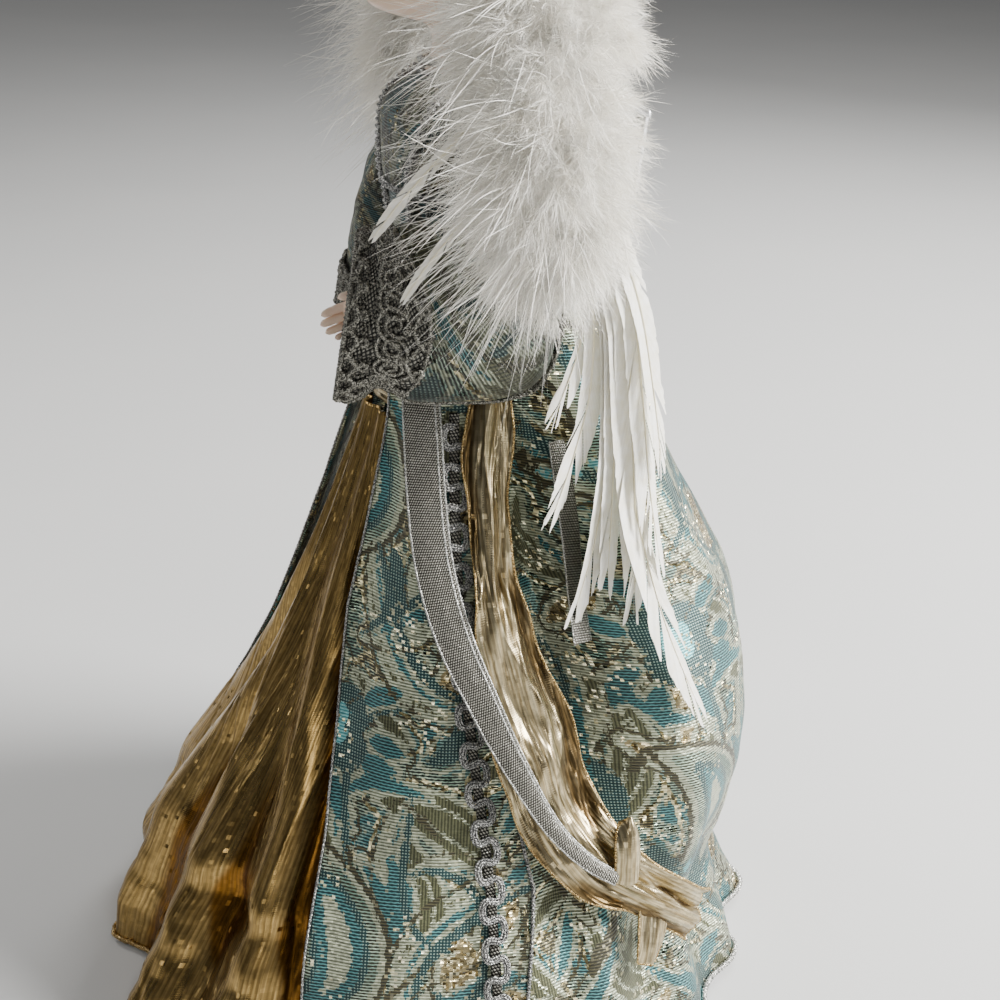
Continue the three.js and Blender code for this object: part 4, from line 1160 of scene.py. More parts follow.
# a folded loop where the streamer bends at its low end, and a short second tail
LOOP_ROWS = [[107.2, 71, 11.5, 8.6], [107.3, 76.5, 13, 9.4], [107.5, 81.5, 13.8, 9.4], [107.8, 85.2, 13.6, 8.4], [108, 87.6, 12.8, 6.2], [108.2, 88.8, 11.8, 3]]
p2, x2, s2, n2, w2 = ribbon(LOOP_ROWS, 80, 25, lambda x, s: 3.4 * (1 - x * x) + 0.6 * fbm(x * 3, s / 6.0, 63, 2))
SHORT_ROWS = [[114.5, 57, 7.6, 16], [113.2, 52, 8.4, 14], [111.6, 46, 8.8, 11], [110.4, 40, 8, 7.5]]
p3, x3, s3, n3, w3 = ribbon(SHORT_ROWS, 70, 25, lambda x, s: 1.1 * np.sin(x * 3.0 + s / 11.0) + 0.5 * fbm(x * 5, s / 8.0, 67, 2))
# deep is painted shade where the crinkles fold in, with a little of it over the whole short tail
gold_rib = strip([(p1, x1, s1, smooth(0.6, -2.4, gold_sag(x1 / x1.max(1, keepdims=True), s1))), (p2, x2, s2, 0 * x2),
                  (p3, x3, s3, 0 * x3 + 0.3)], "gold_ribbon_lame", GOLD_RIB, node="gold_ribbon", slot="gold_lame", solid=0.3)
pile = Pile()
for p in (p1[:, 0], p1[:, -1], p2[:, 0], p2[:, -1], p3[:, 0], p3[:, -1]):
    cord_of(pile, p, outward, 0.42, 0.4, 1.0, 0.25, 6)
for p in (p1[-1], p3[-1]):
    cord_of(pile, p, outward, 0.45, 0.4, 1.0, 0.25, 6)
v, f, _ = pile.parts()
gold_wire = make("gold_ribbon_edges", v, f, GOLD_CORD, slot="gold_lame")


# ------------------------------------------------------------------ body, bodice, sash, yoke, collar
def turned(profile, n_ang, n_rows, depth=1.0, disp=None, front=None, y=AXIS_Y):
    """Rings up a profile of radius, z; disp(angle, row 0..1, z) is added to the radius."""
    prof = np.array(profile, float)
    s = np.concatenate([[0], np.cumsum(np.hypot(*np.diff(prof, axis=0).T))])
    q = np.linspace(0, s[-1], n_rows)
    r, z = np.interp(q, s, prof[:, 0]), np.interp(q, s, prof[:, 1])
    k = np.exp(-0.5 * (np.arange(-4, 5) / 1.6) ** 2)
    k /= k.sum()
    r, z = (np.convolve(np.pad(x, 4, mode="reflect", reflect_type="odd"), k, "valid") for x in (r, z))
    ang = np.arange(n_ang) / n_ang * TAU
    aa, zz = np.meshgrid(ang, z)
    rr = np.repeat(r[:, None], n_ang, 1)
    row = np.repeat((q / s[-1])[:, None], n_ang, 1)
    if disp is not None:
        rr = rr + disp(aa, row, zz)
    p = np.stack([rr * np.sin(aa), y - rr * np.cos(aa) * np.where(np.cos(aa) > 0, front(zz) if front else depth, depth), zz], -1)
    return p, aa * r.mean(), np.repeat(q[:, None], n_ang, 1)


CHEST = 0.8                             # the chest is flatter in front than it is wide


def chest(z):
    return np.interp(z, [211, 232], [0.98, CHEST])


TORSO = [[3.5, 192.6], [19, 192.6], [19.5, 205], [20.5, 220], [23, 245], [25, 262], [25.3, 272], [22.8, 281.5], [15, 288.4], [3.5, 291]]
p, u, v = turned(TORSO, 96, 90, 0.95, lambda a, r, z: -0.5 * (bump(np.cos(a * 2), 1, 0.02)) + 0.25 * noise2(a * 6, z / 9.0, 71) - 0.2, lambda z: chest(z) - 0.03)
torso = make("torso_form_stuffed", p, grid_faces(90, 96, True), COTTON, node="torso_form", slot="stuffed_cloth")

BODICE_OUT = [[22.0, 210.9], [22.4, 220], [23.2, 232], [25.0, 246], [26.6, 259], [27.1, 267.6]]
p, u, v = turned(BODICE_OUT, 200, 70, 0.95, lambda a, r, z: 0.4 * fbm(a * 9, z / 10.0, 73, 2) * np.sin(np.pi * r) + 0.35 * np.sin(a * 22) * (1 - r) ** 2, chest)
# the darkened brocade: painted shade, to match the sleeves
bodice = cloth("bodice_cloth", p, np.where(u > u.max() / 2, u.max() - u, u) + 6, v + 40, BROCADE_SHADED, True, True, node="bodice", slot="brocade", solid=0.6)


def sash_disp(a, r, z):
    wraps = 0.9 * np.abs(np.sin(np.pi * r * 3.0 + 0.35 * np.sin(a * 2) + 0.5 * np.sin(a)))
    return wraps + 0.35 * fbm(a * 7, r * 5 + a, 77, 2)


SASH = [[24.5, 198.8], [27.4, 199.2], [28.4, 201.5], [28.6, 204.2], [28.0, 207], [26.6, 209], [23.5, 209.4]]
p, u, v = turned(SASH, 220, 46, 0.95, sash_disp)
sash = cloth("waist_sash_wrap", p, v * 2, u, GOLD_RIB, wrap=True, node="waist_sash", slot="gold_lame", solid=0.4)

YOKE = [[28.5, 265.0], [29.1, 268.0], [29.4, 275], [29.7, 281], [29.4, 285.5], [27.2, 289.2], [23.4, 292.6], [19.0, 295.2], [15.9, 296.7]]
p, u, v = turned(YOKE, 180, 60, 1.0, lambda a, r, z: 0.35 * fbm(a * 7, r * 3, 79, 2), chest)
# the darkened brocade: painted shade, to match the sleeves
yoke = cloth("robe_yoke_cloth", p, np.where(u > u.max() / 2, u.max() - u, u) + 22, v + 64, BROCADE_SHADED, True, True, node="robe_yoke", slot="brocade", solid=0.7)
pile = Pile()
ang = np.linspace(0, TAU, 240, endpoint=False)
for r, z, rr in ((29.0, 265.2, 0.95), (16.0, 297.0, 0.8)):
    ring = np.stack([r * np.sin(ang), AXIS_Y - r * np.cos(ang) * np.where(np.cos(ang) > 0, CHEST, 1.0), np.full(240, z)], 1)
    cord_of(pile, ring, lambda q: np.tile([0.0, 0.0, 1.0], (len(q), 1)), rr, 0.4, 1.5, 0.3, 7, closed=True)
front = np.array([[16.2, 296.6]] + YOKE[::-1][1:-1] + BODICE_OUT[::-1][1:], float)
run = np.concatenate([[0], np.cumsum(np.hypot(*np.diff(front, axis=0).T))])
q = np.linspace(0, run[-1], 150)
fr, fz = np.interp(q, run, front[:, 0]) + 0.7, np.interp(q, run, front[:, 1])
for sgn in (1, -1):
    a = sgn * np.radians(np.interp(q / run[-1], [0, 0.35, 1], [52, 27, 13]))
    path = np.stack([fr * np.sin(a), AXIS_Y - fr * np.cos(a) * chest(fz), fz], 1)
    cord_of(pile, path, outward, 1.35, 0.35, 2.0, 0.3, 8)
    a = a + sgn * np.radians(np.interp(q / run[-1], [0, 0.3, 1], [10, 16, 11]))
    path = np.stack([fr * np.sin(a), AXIS_Y - fr * np.cos(a) * chest(fz), fz], 1)
    cord_of(pile, path, outward, 0.5, 0.35, 1.2, 0.35, 6)
v, f, _ = pile.parts()
yoke_cord = make("robe_yoke_cords", v, f, SILVER, slot="silver_thread")
pile = Pile()
ring = np.stack([12.3 * np.sin(ang), AXIS_Y - 12.3 * np.cos(ang), np.full(240, 300.4)], 1)
cord_of(pile, ring, lambda q: np.tile([0.0, 0.0, 1.0], (len(q), 1)), 1.15, 0.3, 1.9, 0.32, 8, closed=True)
v, f, _ = pile.parts()
make("collar_cord_beads", v, f, BRIGHT_SILVER, node="collar_cord", slot="silver_thread")

# ------------------------------------------------------------------ sleeves, lace, hands
SLEEVES = {"left": np.array([
    [27.9, 6, 272.0, 0.3, 0, 9.5, 0, 10.5, 0],
    [32.0, 6, 272.4, 1.2, 0, 12.6, 0, 13.6, 0],
    [39, 5, 266, 9, 1.5, 7, 0, 18, -1],
    [42.5, 1, 253, 13, 0, 1.5, 0, 20.5, -12],
    [41.5, -6.5, 239, 14, -1.5, -1, 0, 20.5, -25],
    [37.5, -23, 236.5, 13.5, -3, 0, 0, 7, -25],
    [31.5, -39.5, 237, 13, -4.5, 0, 0, -3.5, -21.5]], float), "right": np.array([
    [27.9, 6, 272.0, 0.3, 0, 9.5, 0, 10.5, 0],
    [32.0, 6, 272.4, 1.2, 0, 12.6, 0, 13.6, 0],
    [39, 6, 265.5, 9, 0, 7, 0, 17, 0],
    [45, 6, 252, 11.6, 0, 4.4, 0, 18, 0],
    [50, 4.8, 238, 12, 0, 4.5, 0, 17.5, 0],
    [54, 3.6, 224, 12, 0, 5, 0, 17.5, 0],
    [57.5, 2.4, 210, 11.8, 0, 5.4, 0, 17.5, 0]], float)}


class Sleeve:
    """A bell sleeve: w is the angle round it, v runs from the shoulder 0 to the mouth 1."""

    def __init__(self, side):
        self.rows, self.side = SLEEVES[side], side

    def point(self, w, v, grow=0.0):
        q = along(self.rows, v)
        c, a, b = q[..., :3], q[..., 3:6], q[..., 6:9]
        la, lb = np.linalg.norm(a, axis=-1, keepdims=True), np.linalg.norm(b, axis=-1, keepdims=True)
        g = np.asarray(grow)[..., None] if np.ndim(grow) else grow
        p = c + a * (1 + g / la) * np.cos(w)[..., None] - b * (1 + g / lb) * np.sin(w)[..., None]
        if self.side == "left":                  # the lower fold rises behind the lace's low corner
            p[..., 2] += 6.0 * bump(v, 0.915, 0.028) * smooth(0.3, 1.0, -np.sin(w))
        return p

    def fold(self, w, v):
        f = 1.2 * np.sin(3 * w + 5.0 * v) * smooth(0.1, 0.4, v) * smooth(1.02, 0.55, v)
        f = f + 1.1 * fbm(w * 1.6 + 3 * v, v * 5.0, 83, 2) * smooth(0.05, 0.25, v) * smooth(0.95, 0.75, v)
        f = f + 0.5 * fbm(w * 4 + 9 * v, v * 13.0, 84, 2) * smooth(0.1, 0.3, v) * smooth(0.95, 0.8, v)
        return f + 0.6 * np.sin(9 * w) * smooth(0.3, 0.1, v)      # gathers at the shoulder

    def lace_from(self, w):
        """Where the lace starts: far up the top edge, near the mouth below."""
        return (0.83 - 0.09 * np.sin(w) - 0.03 * np.cos(w)) if self.side == "left" else np.full(np.shape(w), 0.82)

    def lace_grow(self, w, v):
        return 1.3 + 0.5 * fbm(w * 5, v * 16, 91, 2) + 0.25 * noise2(w * 24, v * 60, 92)

    def normal(self, w, v, g):
        e = 1e-3
        du = self.point(w + e, v, g) - self.point(w - e, v, g)
        dv = self.point(w, np.clip(v + e, 0, 1), g) - self.point(w, np.clip(v - e, 0, 1), g)
        return unit(np.cross(du, dv))

    def cloth(self, nu=168, nv=112):
        w, v = np.meshgrid(np.arange(nu) / nu * TAU, np.linspace(0, 1, nv))
        pts = self.point(w, v, self.fold(w, v) - 0.3)
        mid = along(self.rows, np.linspace(0, 1, nv))[:, :3]
        run = np.concatenate([[0], np.cumsum(np.linalg.norm(np.diff(mid, axis=0), axis=1))])
        return pts, np.where(w > math.pi, TAU - w, w) * 19.0 + 22, np.repeat(run[:, None], nu, 1) * 1.15 + 64

    def lace_net(self, nu=200, nv=46):
        w, t = np.meshgrid(np.arange(nu) / nu * TAU, np.linspace(0, 1, nv))
        start = self.lace_from(w)
        v = start + (1 - start) * t
        v = v + 0.012 * np.cos(w * 24) * smooth(0.8, 1.0, t) - 0.012 * np.cos(w * 20) * smooth(0.2, 0.0, t)
        return self.point(w, np.clip(v, 0, 1), self.lace_grow(w, v)), w * 20.0, v * 110

    def lace_work(self):
        """Scroll cords and grains that lie on the lace."""
        pile = Pile()

        def lay(ws, vs, r, lift=0.3, pitch=1.0):
            g = self.lace_grow(ws, vs) + lift
            p = self.point(ws, np.clip(vs, 0, 1), g)
            nrm = self.normal(ws, vs, g)
            s = np.linalg.norm(np.diff(p, axis=0), axis=1).sum()
            n = max(8, int(s / 0.36))
            q, idx = np.linspace(0, 1, n), np.linspace(0, 1, len(p))
            p = np.stack([np.interp(q, idx, p[:, k]) for k in range(3)], 1)
            nrm = np.stack([np.interp(q, idx, nrm[:, k]) for k in range(3)], 1)
            v, f = tube(p, r * (1 + 0.28 * np.cos(TAU * q * s / pitch)), nrm, 6)
            pile.add(v, f)

        full = np.linspace(0, TAU, 360)
        for loops, r, inner in ((20, 0.9, False), (17, 0.85, True)):
            ph = np.linspace(0, TAU * loops, loops * 34)
            w = ph / loops + 0.26 * (TAU / loops) * np.sin(2 * ph)
            mid = self.lace_from(w) + 0.03 if inner else np.full(w.shape, 0.965)
            lay(w, mid + 0.03 * np.sin(ph), r, 0.45)
        lay(full, np.full(360, 0.997), 0.8, 0.0)
        lay(full, self.lace_from(full), 0.6, 0.1)
        for k in range(12):                      # two-armed scrolls between the borders
            for sgn in (1, -1):
                th = np.linspace(0, 2.1 * TAU, 70)
                w0 = TAU * (k + 0.5) / 12 + sgn * 0.12
                room = (0.955 - self.lace_from(np.array([w0]))[0])
                rad = (0.16 + 0.84 * (1 - th / th[-1])) * min(4.4, max(1.4, room * 26))
                lay(w0 + sgn * rad * np.cos(th) / 122.0 * TAU, 0.955 - room * 0.5 + rad * np.sin(th) / 100.0, 0.72, 0.35)
        if self.side == "left":                  # beaded edge along the sleeve's lower fold
            vs = np.linspace(0.46, 0.94, 240)
            for off, r in ((0.0, 0.85), (0.07, 0.6)):
                lay(np.full(240, -math.pi / 2 + off), vs, r, -1.0, 1.3)
        rng = np.random.default_rng(5)
        m = 1500                                 # grains of metal thread
        ws = rng.uniform(0, TAU, m)
        start = self.lace_from(ws)
        vs = start + (1 - start) * rng.uniform(0.01, 0.99, m)
        p = self.point(ws, vs, self.lace_grow(ws, vs) + 0.15)
        octa = np.array([[1, 0, 0], [-1, 0, 0], [0, 1, 0], [0, -1, 0], [0, 0, 1], [0, 0, -1]], float)
        oct_f = np.array([[0, 2, 4], [2, 1, 4], [1, 3, 4], [3, 0, 4], [2, 0, 5], [1, 2, 5], [3, 1, 5], [0, 3, 5]])
        rr = rng.uniform(0.28, 0.66, m)
        pile.add((p[:, None] + octa[None] * rr[:, None, None]).reshape(-1, 3), (oct_f[None] + 6 * np.arange(m)[:, None, None]).reshape(-1, 3))
        v, f, _ = pile.parts()
        return v, f


def finger(p0, p1, p2, r0, r1, n=16):
    t = np.linspace(0, 1, n)
    p = (1 - t)[:, None] ** 2 * np.array(p0, float) + (2 * t * (1 - t))[:, None] * np.array(p1, float) + (t ** 2)[:, None] * np.array(p2, float)
    r = (r0 + (r1 - r0) * t) * (1 + 0.10 * bump(t, 0.45, 0.08) + 0.08 * bump(t, 0.72, 0.07))
    r = r * np.sqrt(np.clip(1 - ((t - 0.86) / 0.15).clip(0, 1) ** 2, 0.05, 1))
    return tube(p, r, np.tile([1.0, 0.1, 0.1], (n, 1)), 12)


def hand_mesh(start, end, thumb):
    """Forearm and hand. In its own frame y runs to the fingertips, z to the thumb, x out of the back."""
    pile = Pile()
    n = 64
    q = along([[0, 5.6, 5.6], [4, 6.1, 6.0], [12, 5.5, 5.3], [21, 4.4, 4.2], [26.5, 3.5, 3.8], [30, 3.1, 4.9], [34.5, 2.9, 5.7], [37.6, 2.4, 5.2], [38.8, 0.8, 2.4]], np.linspace(0, 1, n))
    ang = np.arange(28) / 28 * TAU
    ring = np.stack([np.cos(ang)[None] * q[:, 1:2], np.repeat(q[:, 0:1], 28, 1), np.sin(ang)[None] * q[:, 2:3]], -1)
    i = np.arange(28)
    k = (i + 1) % 28
    e = n * 28
    v = np.concatenate([ring.reshape(-1, 3), [[0, 0, 0], [0, 39.0, 0]]])
    caps = np.concatenate([np.stack([i, k, np.full(28, e)], 1), np.stack([(n - 1) * 28 + k, (n - 1) * 28 + i, np.full(28, e + 1)], 1)])
    pile.add(v, [grid_faces(n, 28, True)[:, ::-1], caps[:, ::-1]])
    for z, ln, r in ((3.9, 8.2, 1.42), (1.35, 9.4, 1.48), (-1.2, 8.8, 1.4), (-3.5, 6.8, 1.2)):
        v, f = finger((0.2, 36.2, z), (0.4, 36.2 + ln * 0.6, z * 1.06), (-2.0, 36.2 + ln, z * 1.0), r, r * 0.72)
        pile.add(v, f)
    v, f = finger((-0.4, 29.5, 4.0), (-1.4, 33.0, 7.4), (-2.6, 38.0, 7.6), 1.65, 1.1)
    pile.add(v, f)
    v, f, _ = pile.parts()
    ya = unit(np.array(end, float) - np.array(start, float))
    za = unit(np.array(thumb, float) - np.dot(thumb, ya) * ya)
    xa = np.cross(ya, za)
    return np.array(start, float) + v[:, :1] * xa + v[:, 1:2] * ya + v[:, 2:3] * za, f


for side, flip in (("left", np.ones(3)), ("right", MIRROR)):
    body, shape = f"{side}_arm", Sleeve(side)

    def turn(faces):
        return [f if flip[0] > 0 else f[:, ::-1] for f in (faces if isinstance(faces, list) else [faces])]
    pts, cu, cv = shape.cloth()
    # the darkened brocade: painted shade of the wing over the sleeve
    sleeve = make(f"bell_sleeve_{side}_cloth", pts * flip, turn(grid_faces(*pts.shape[:2], True)), BROCADE_SHADED, body,
                  uv=np.stack([cu.ravel(), cv.ravel()], 1) * 0.01, attrs=brocade_attrs(cu, cv), node=f"bell_sleeve_{side}", slot="brocade", solid=0.6)
    pts, cu, cv = shape.lace_net()
    lace = make(f"sleeve_lace_{side}_net", pts * flip, turn(grid_faces(*pts.shape[:2], True)), LACE_GROUND, body,
                uv=np.stack([cu.ravel(), cv.ravel()], 1) * 0.01, node=f"sleeve_lace_{side}", slot="silver_thread", solid=0.5)
    v, f = shape.lace_work()
    # lace cords in the darker silver thread: painted shade
    cords = make(f"sleeve_lace_{side}_cords", v * flip, turn(f), LACE_CORD_SHADED, body, slot="silver_thread")
    v, f = hand_mesh((39, -4, 246), (26, -33, 235), (0, 0, 1)) if side == "left" else hand_mesh((45.6, 5.8, 248), (54, 2.8, 214), (0, -1, 0))
    make(f"forearm_hand_{side}_bisque", v * flip, turn(f), SKIN, body, node=f"forearm_hand_{side}", slot="porcelain")

# ------------------------------------------------------------------ head with a plain doll's face
HEAD = [[27.4, 268.2], [27.6, 275], [27.5, 281.5], [26.6, 285], [22, 290.5], [15, 294.5], [10.6, 298], [9.3, 303], [9.3, 308.2], [11.2, 310.4], [16.8, 312.4], [20.8, 318.6], [25.5, 331], [27.2, 345], [25.8, 360], [20, 371], [10, 377.4], [0.4, 379]]


def head_mesh():
    prof = np.array(HEAD, float)
    s = np.concatenate([[0], np.cumsum(np.hypot(*np.diff(prof, axis=0).T))])
    n_rows, n_cols = 370, 260
    fine = np.linspace(0, s[-1], 1650)
    r, z = np.interp(fine, s, prof[:, 0]), np.interp(fine, s, prof[:, 1])
    k = np.exp(-0.5 * (np.arange(-70, 71) / 25.0) ** 2)
    k /= k.sum()
    r, z = (np.convolve(np.pad(x, 70, mode="reflect", reflect_type="odd"), k, "valid") for x in (r, z))
    dense = np.cumsum(0.5 + 1.7 * smooth(310, 314, z) * smooth(359, 355, z))      # rows lie closer over the face
    q = np.interp(np.linspace(dense[0], dense[-1], n_rows), dense, fine)
    r, z = np.interp(q, fine, r), np.interp(q, fine, z)
    r[-1] = 0.05
    t = np.linspace(-1, 1, n_cols, endpoint=False)
    ang = math.pi * (0.55 * t + 0.45 * t ** 3)              # closer together at the front
    aa, zz = np.meshgrid(ang, z)
    rr = np.repeat(r[:, None], n_cols, 1)
    x = rr * np.sin(aa)
    front = smooth(0.0, 0.35, np.cos(aa))
    up_face = smooth(309, 314, zz)

    def g(px, pz, wx, wz):
        return bump(x, px, wx) * bump(zz, pz, wz)

    d = 0.0
    chin = 7.4 * bump(x, 0, 9.5) * bump(zz, 316.2, 4.6) + 2.6 * bump(x, 0, 13) * bump(zz, 320, 6)
    d = d + chin
    nose_z = smooth(351, 331.5, zz) * smooth(328.4, 330.3, zz)
    d = d + 6.0 * nose_z * bump(x, 0, 1.8 + 1.1 * smooth(345, 331, zz))
    for sx in (-1, 1):
        d = d + 1.1 * g(sx * 2.9, 330.8, 1.5, 1.5) - 0.5 * g(sx * 1.6, 329.2, 0.8, 0.6)
        d = d - 2.3 * g(sx * 10.2, 346.6, 5.4, 3.9) + 2.0 * g(sx * 10.4, 345.2, 4.3, 2.7)
        d = d + 0.7 * g(sx * 10.5, 353.2, 6.5, 2.2) + 1.3 * g(sx * 13.5, 334.5, 7.0, 6.0)
        d = d - 0.6 * g(sx * 6.4, 322.2, 1.6, 1.6)
    mouth = 322.3 - 0.35 * np.cos(x * 1.0) * bump(x, 0, 3) + 0.035 * x ** 2 * bump(x, 0, 6) * 0.6
    d = d + 1.0 * bump(x, 0, 4.4) * bump(zz, 323.7, 1.2) + 1.1 * bump(x, 0, 3.5) * bump(zz, 320.7, 1.3) - 0.5 * bump(x, 0, 5.0) * bump(zz, 318.6, 1.1)
    d = d - 0.75 * bump(x, 0, 5.0) * bump(zz, mouth, 0.45)
    d = d - 0.4 * bump(x, 0, 1.0) * bump(zz, 326.2, 1.3)
    d = d * front * up_face
    rr2 = rr + d
    # collar bones and the throat's hollow on the shoulder plate
    chest = smooth(0.1, 0.6, np.cos(aa)) * smooth(300, 294, zz) * smooth(282, 287, zz)
    rr2 = rr2 + chest * (0.5 * bump(zz, 292 - 0.14 * np.abs(x), 1.3) - 0.6 * bump(x, 0, 2.5) * bump(zz, 294.5, 1.6))
    depth = np.where(np.cos(aa) > 0, 1 - (1 - CHEST + 0.01) * smooth(301, 290, zz), 1.0)
    slim = 1 - 0.09 * smooth(338, 318, zz) * smooth(309, 314, zz)
    p = np.stack([rr2 * np.sin(aa) * slim, AXIS_Y - rr2 * np.cos(aa) * depth, zz], -1)
    w = np.clip(1 - np.abs(x) / 4.7, 0, 1)
    upper = 322.2 + 2.1 * w ** 0.75 - 0.55 * bump(x, 0, 0.75)
    lower = 322.2 - 2.3 * np.clip(1 - (x / 4.3) ** 2, 0, 1) ** 0.8
    lip = smooth(upper + 0.22, upper - 0.22, zz) * smooth(lower - 0.25, lower + 0.25, zz) * smooth(0.0, 0.06, w)
    parting = 322.15 - 0.28 * bump(x, 0, 1.0) + 0.02 * x ** 2
    seam = bump(zz, parting, 0.24) * smooth(5.0, 4.3, np.abs(x))
    lash = 0.0
    for sx in (-1, 1):
        e = x - sx * 10.4
        line = 343.9 + 0.032 * e ** 2
        lash = np.maximum(lash, bump(zz, line, 0.44) * smooth(5.2, 4.6, np.abs(e)))
        for j in range(7):                       # lashes fan out below the lid
            e0 = -4.2 + 1.4 * j
            dx, dz = 0.22 * e0 + 0.25 * sx, -1.5 - 0.1 * abs(e0)
            x0, z0 = sx * 10.4 + e0, 343.9 + 0.032 * e0 ** 2
            h = np.clip(((x - x0) * dx + (zz - z0) * dz) / (dx * dx + dz * dz), 0, 1)
            lash = np.maximum(lash, 0.85 * np.exp(-(((x - x0 - h * dx) ** 2 + (zz - z0 - h * dz) ** 2) / (0.24 * (1.1 - 0.5 * h)) ** 2)))
        brow = 353.4 - 0.030 * (e + sx * -1.0) ** 2
        lash = np.maximum(lash, 0.74 * bump(zz, brow, 0.66) * smooth(6.0, 4.2, np.abs(e)))
        lash = np.maximum(lash, 0.3 * bump(zz, 348.6 - 0.034 * e ** 2, 0.35) * smooth(5.2, 4.0, np.abs(e)))
    blush = 0.0
    for sx in (-1, 1):
        blush = np.maximum(blush, g(sx * 13, 333.5, 6.0, 4.6))
    # lip line, with painted shade under the lower lip and under the nose
    tint = 0.75 * seam + 0.24 * bump(x, 0, 3.2) * bump(zz, 318.0, 1.0) + 0.2 * bump(x, 0, 0.9) * bump(zz, 326.3, 1.4)
    for sx in (-1, 1):                           # nostril dots and lid tint as a doll painter puts them, with painted shade on the nose wings, down the nose's sides and over the lids
        tint = tint + 0.8 * g(sx * 1.45, 329.5, 0.62, 0.42) + 0.3 * bump(x, sx * 3.9, 0.7) * bump(zz, 330.8, 1.5)
        tint = tint + 0.16 * bump(x, sx * 4.0, 1.5) * smooth(329.5, 333, zz) * smooth(353, 346, zz)
        tint = tint + 0.3 * g(sx * 10.4, 348.0, 4.6, 1.6) + 0.16 * g(sx * 10.4, 345.6, 4.4, 1.6)
    tint = np.clip(tint, 0, 1)
    lash, lip, blush, tint = (c * front * up_face for c in (lash, lip, blush, tint))
    return p, lip.ravel(), lash.ravel(), blush.ravel(), tint.ravel()


hp, lip, lash, blush, tint = head_mesh()
make("head_shoulder_plate_bisque", hp, grid_faces(*hp.shape[:2], True), SKIN, attrs={"lip": lip, "lash": lash, "blush": blush, "tint": tint},
     node="head_shoulder_plate", slot="porcelain")

# ------------------------------------------------------------------ hair
LOCK_ENDS = {37: "left", 74: "back_left", 111: "back_right", 149: "right"}
CAP_C, CAP_R = np.array([0.0, 9.0, 351.0]), np.array([30.3, 31.3, 35.4])


def on_cap(az, pol, lift=0.0):
    """Place on the hair cap: az is the bearing from the front, pol the angle from the crown."""
    d = np.stack([np.sin(pol) * np.sin(az), -np.sin(pol) * np.cos(az), np.cos(pol)], -1)
    return CAP_C + d * (CAP_R + np.asarray(lift)[..., None] if np.ndim(lift) else CAP_R + lift)


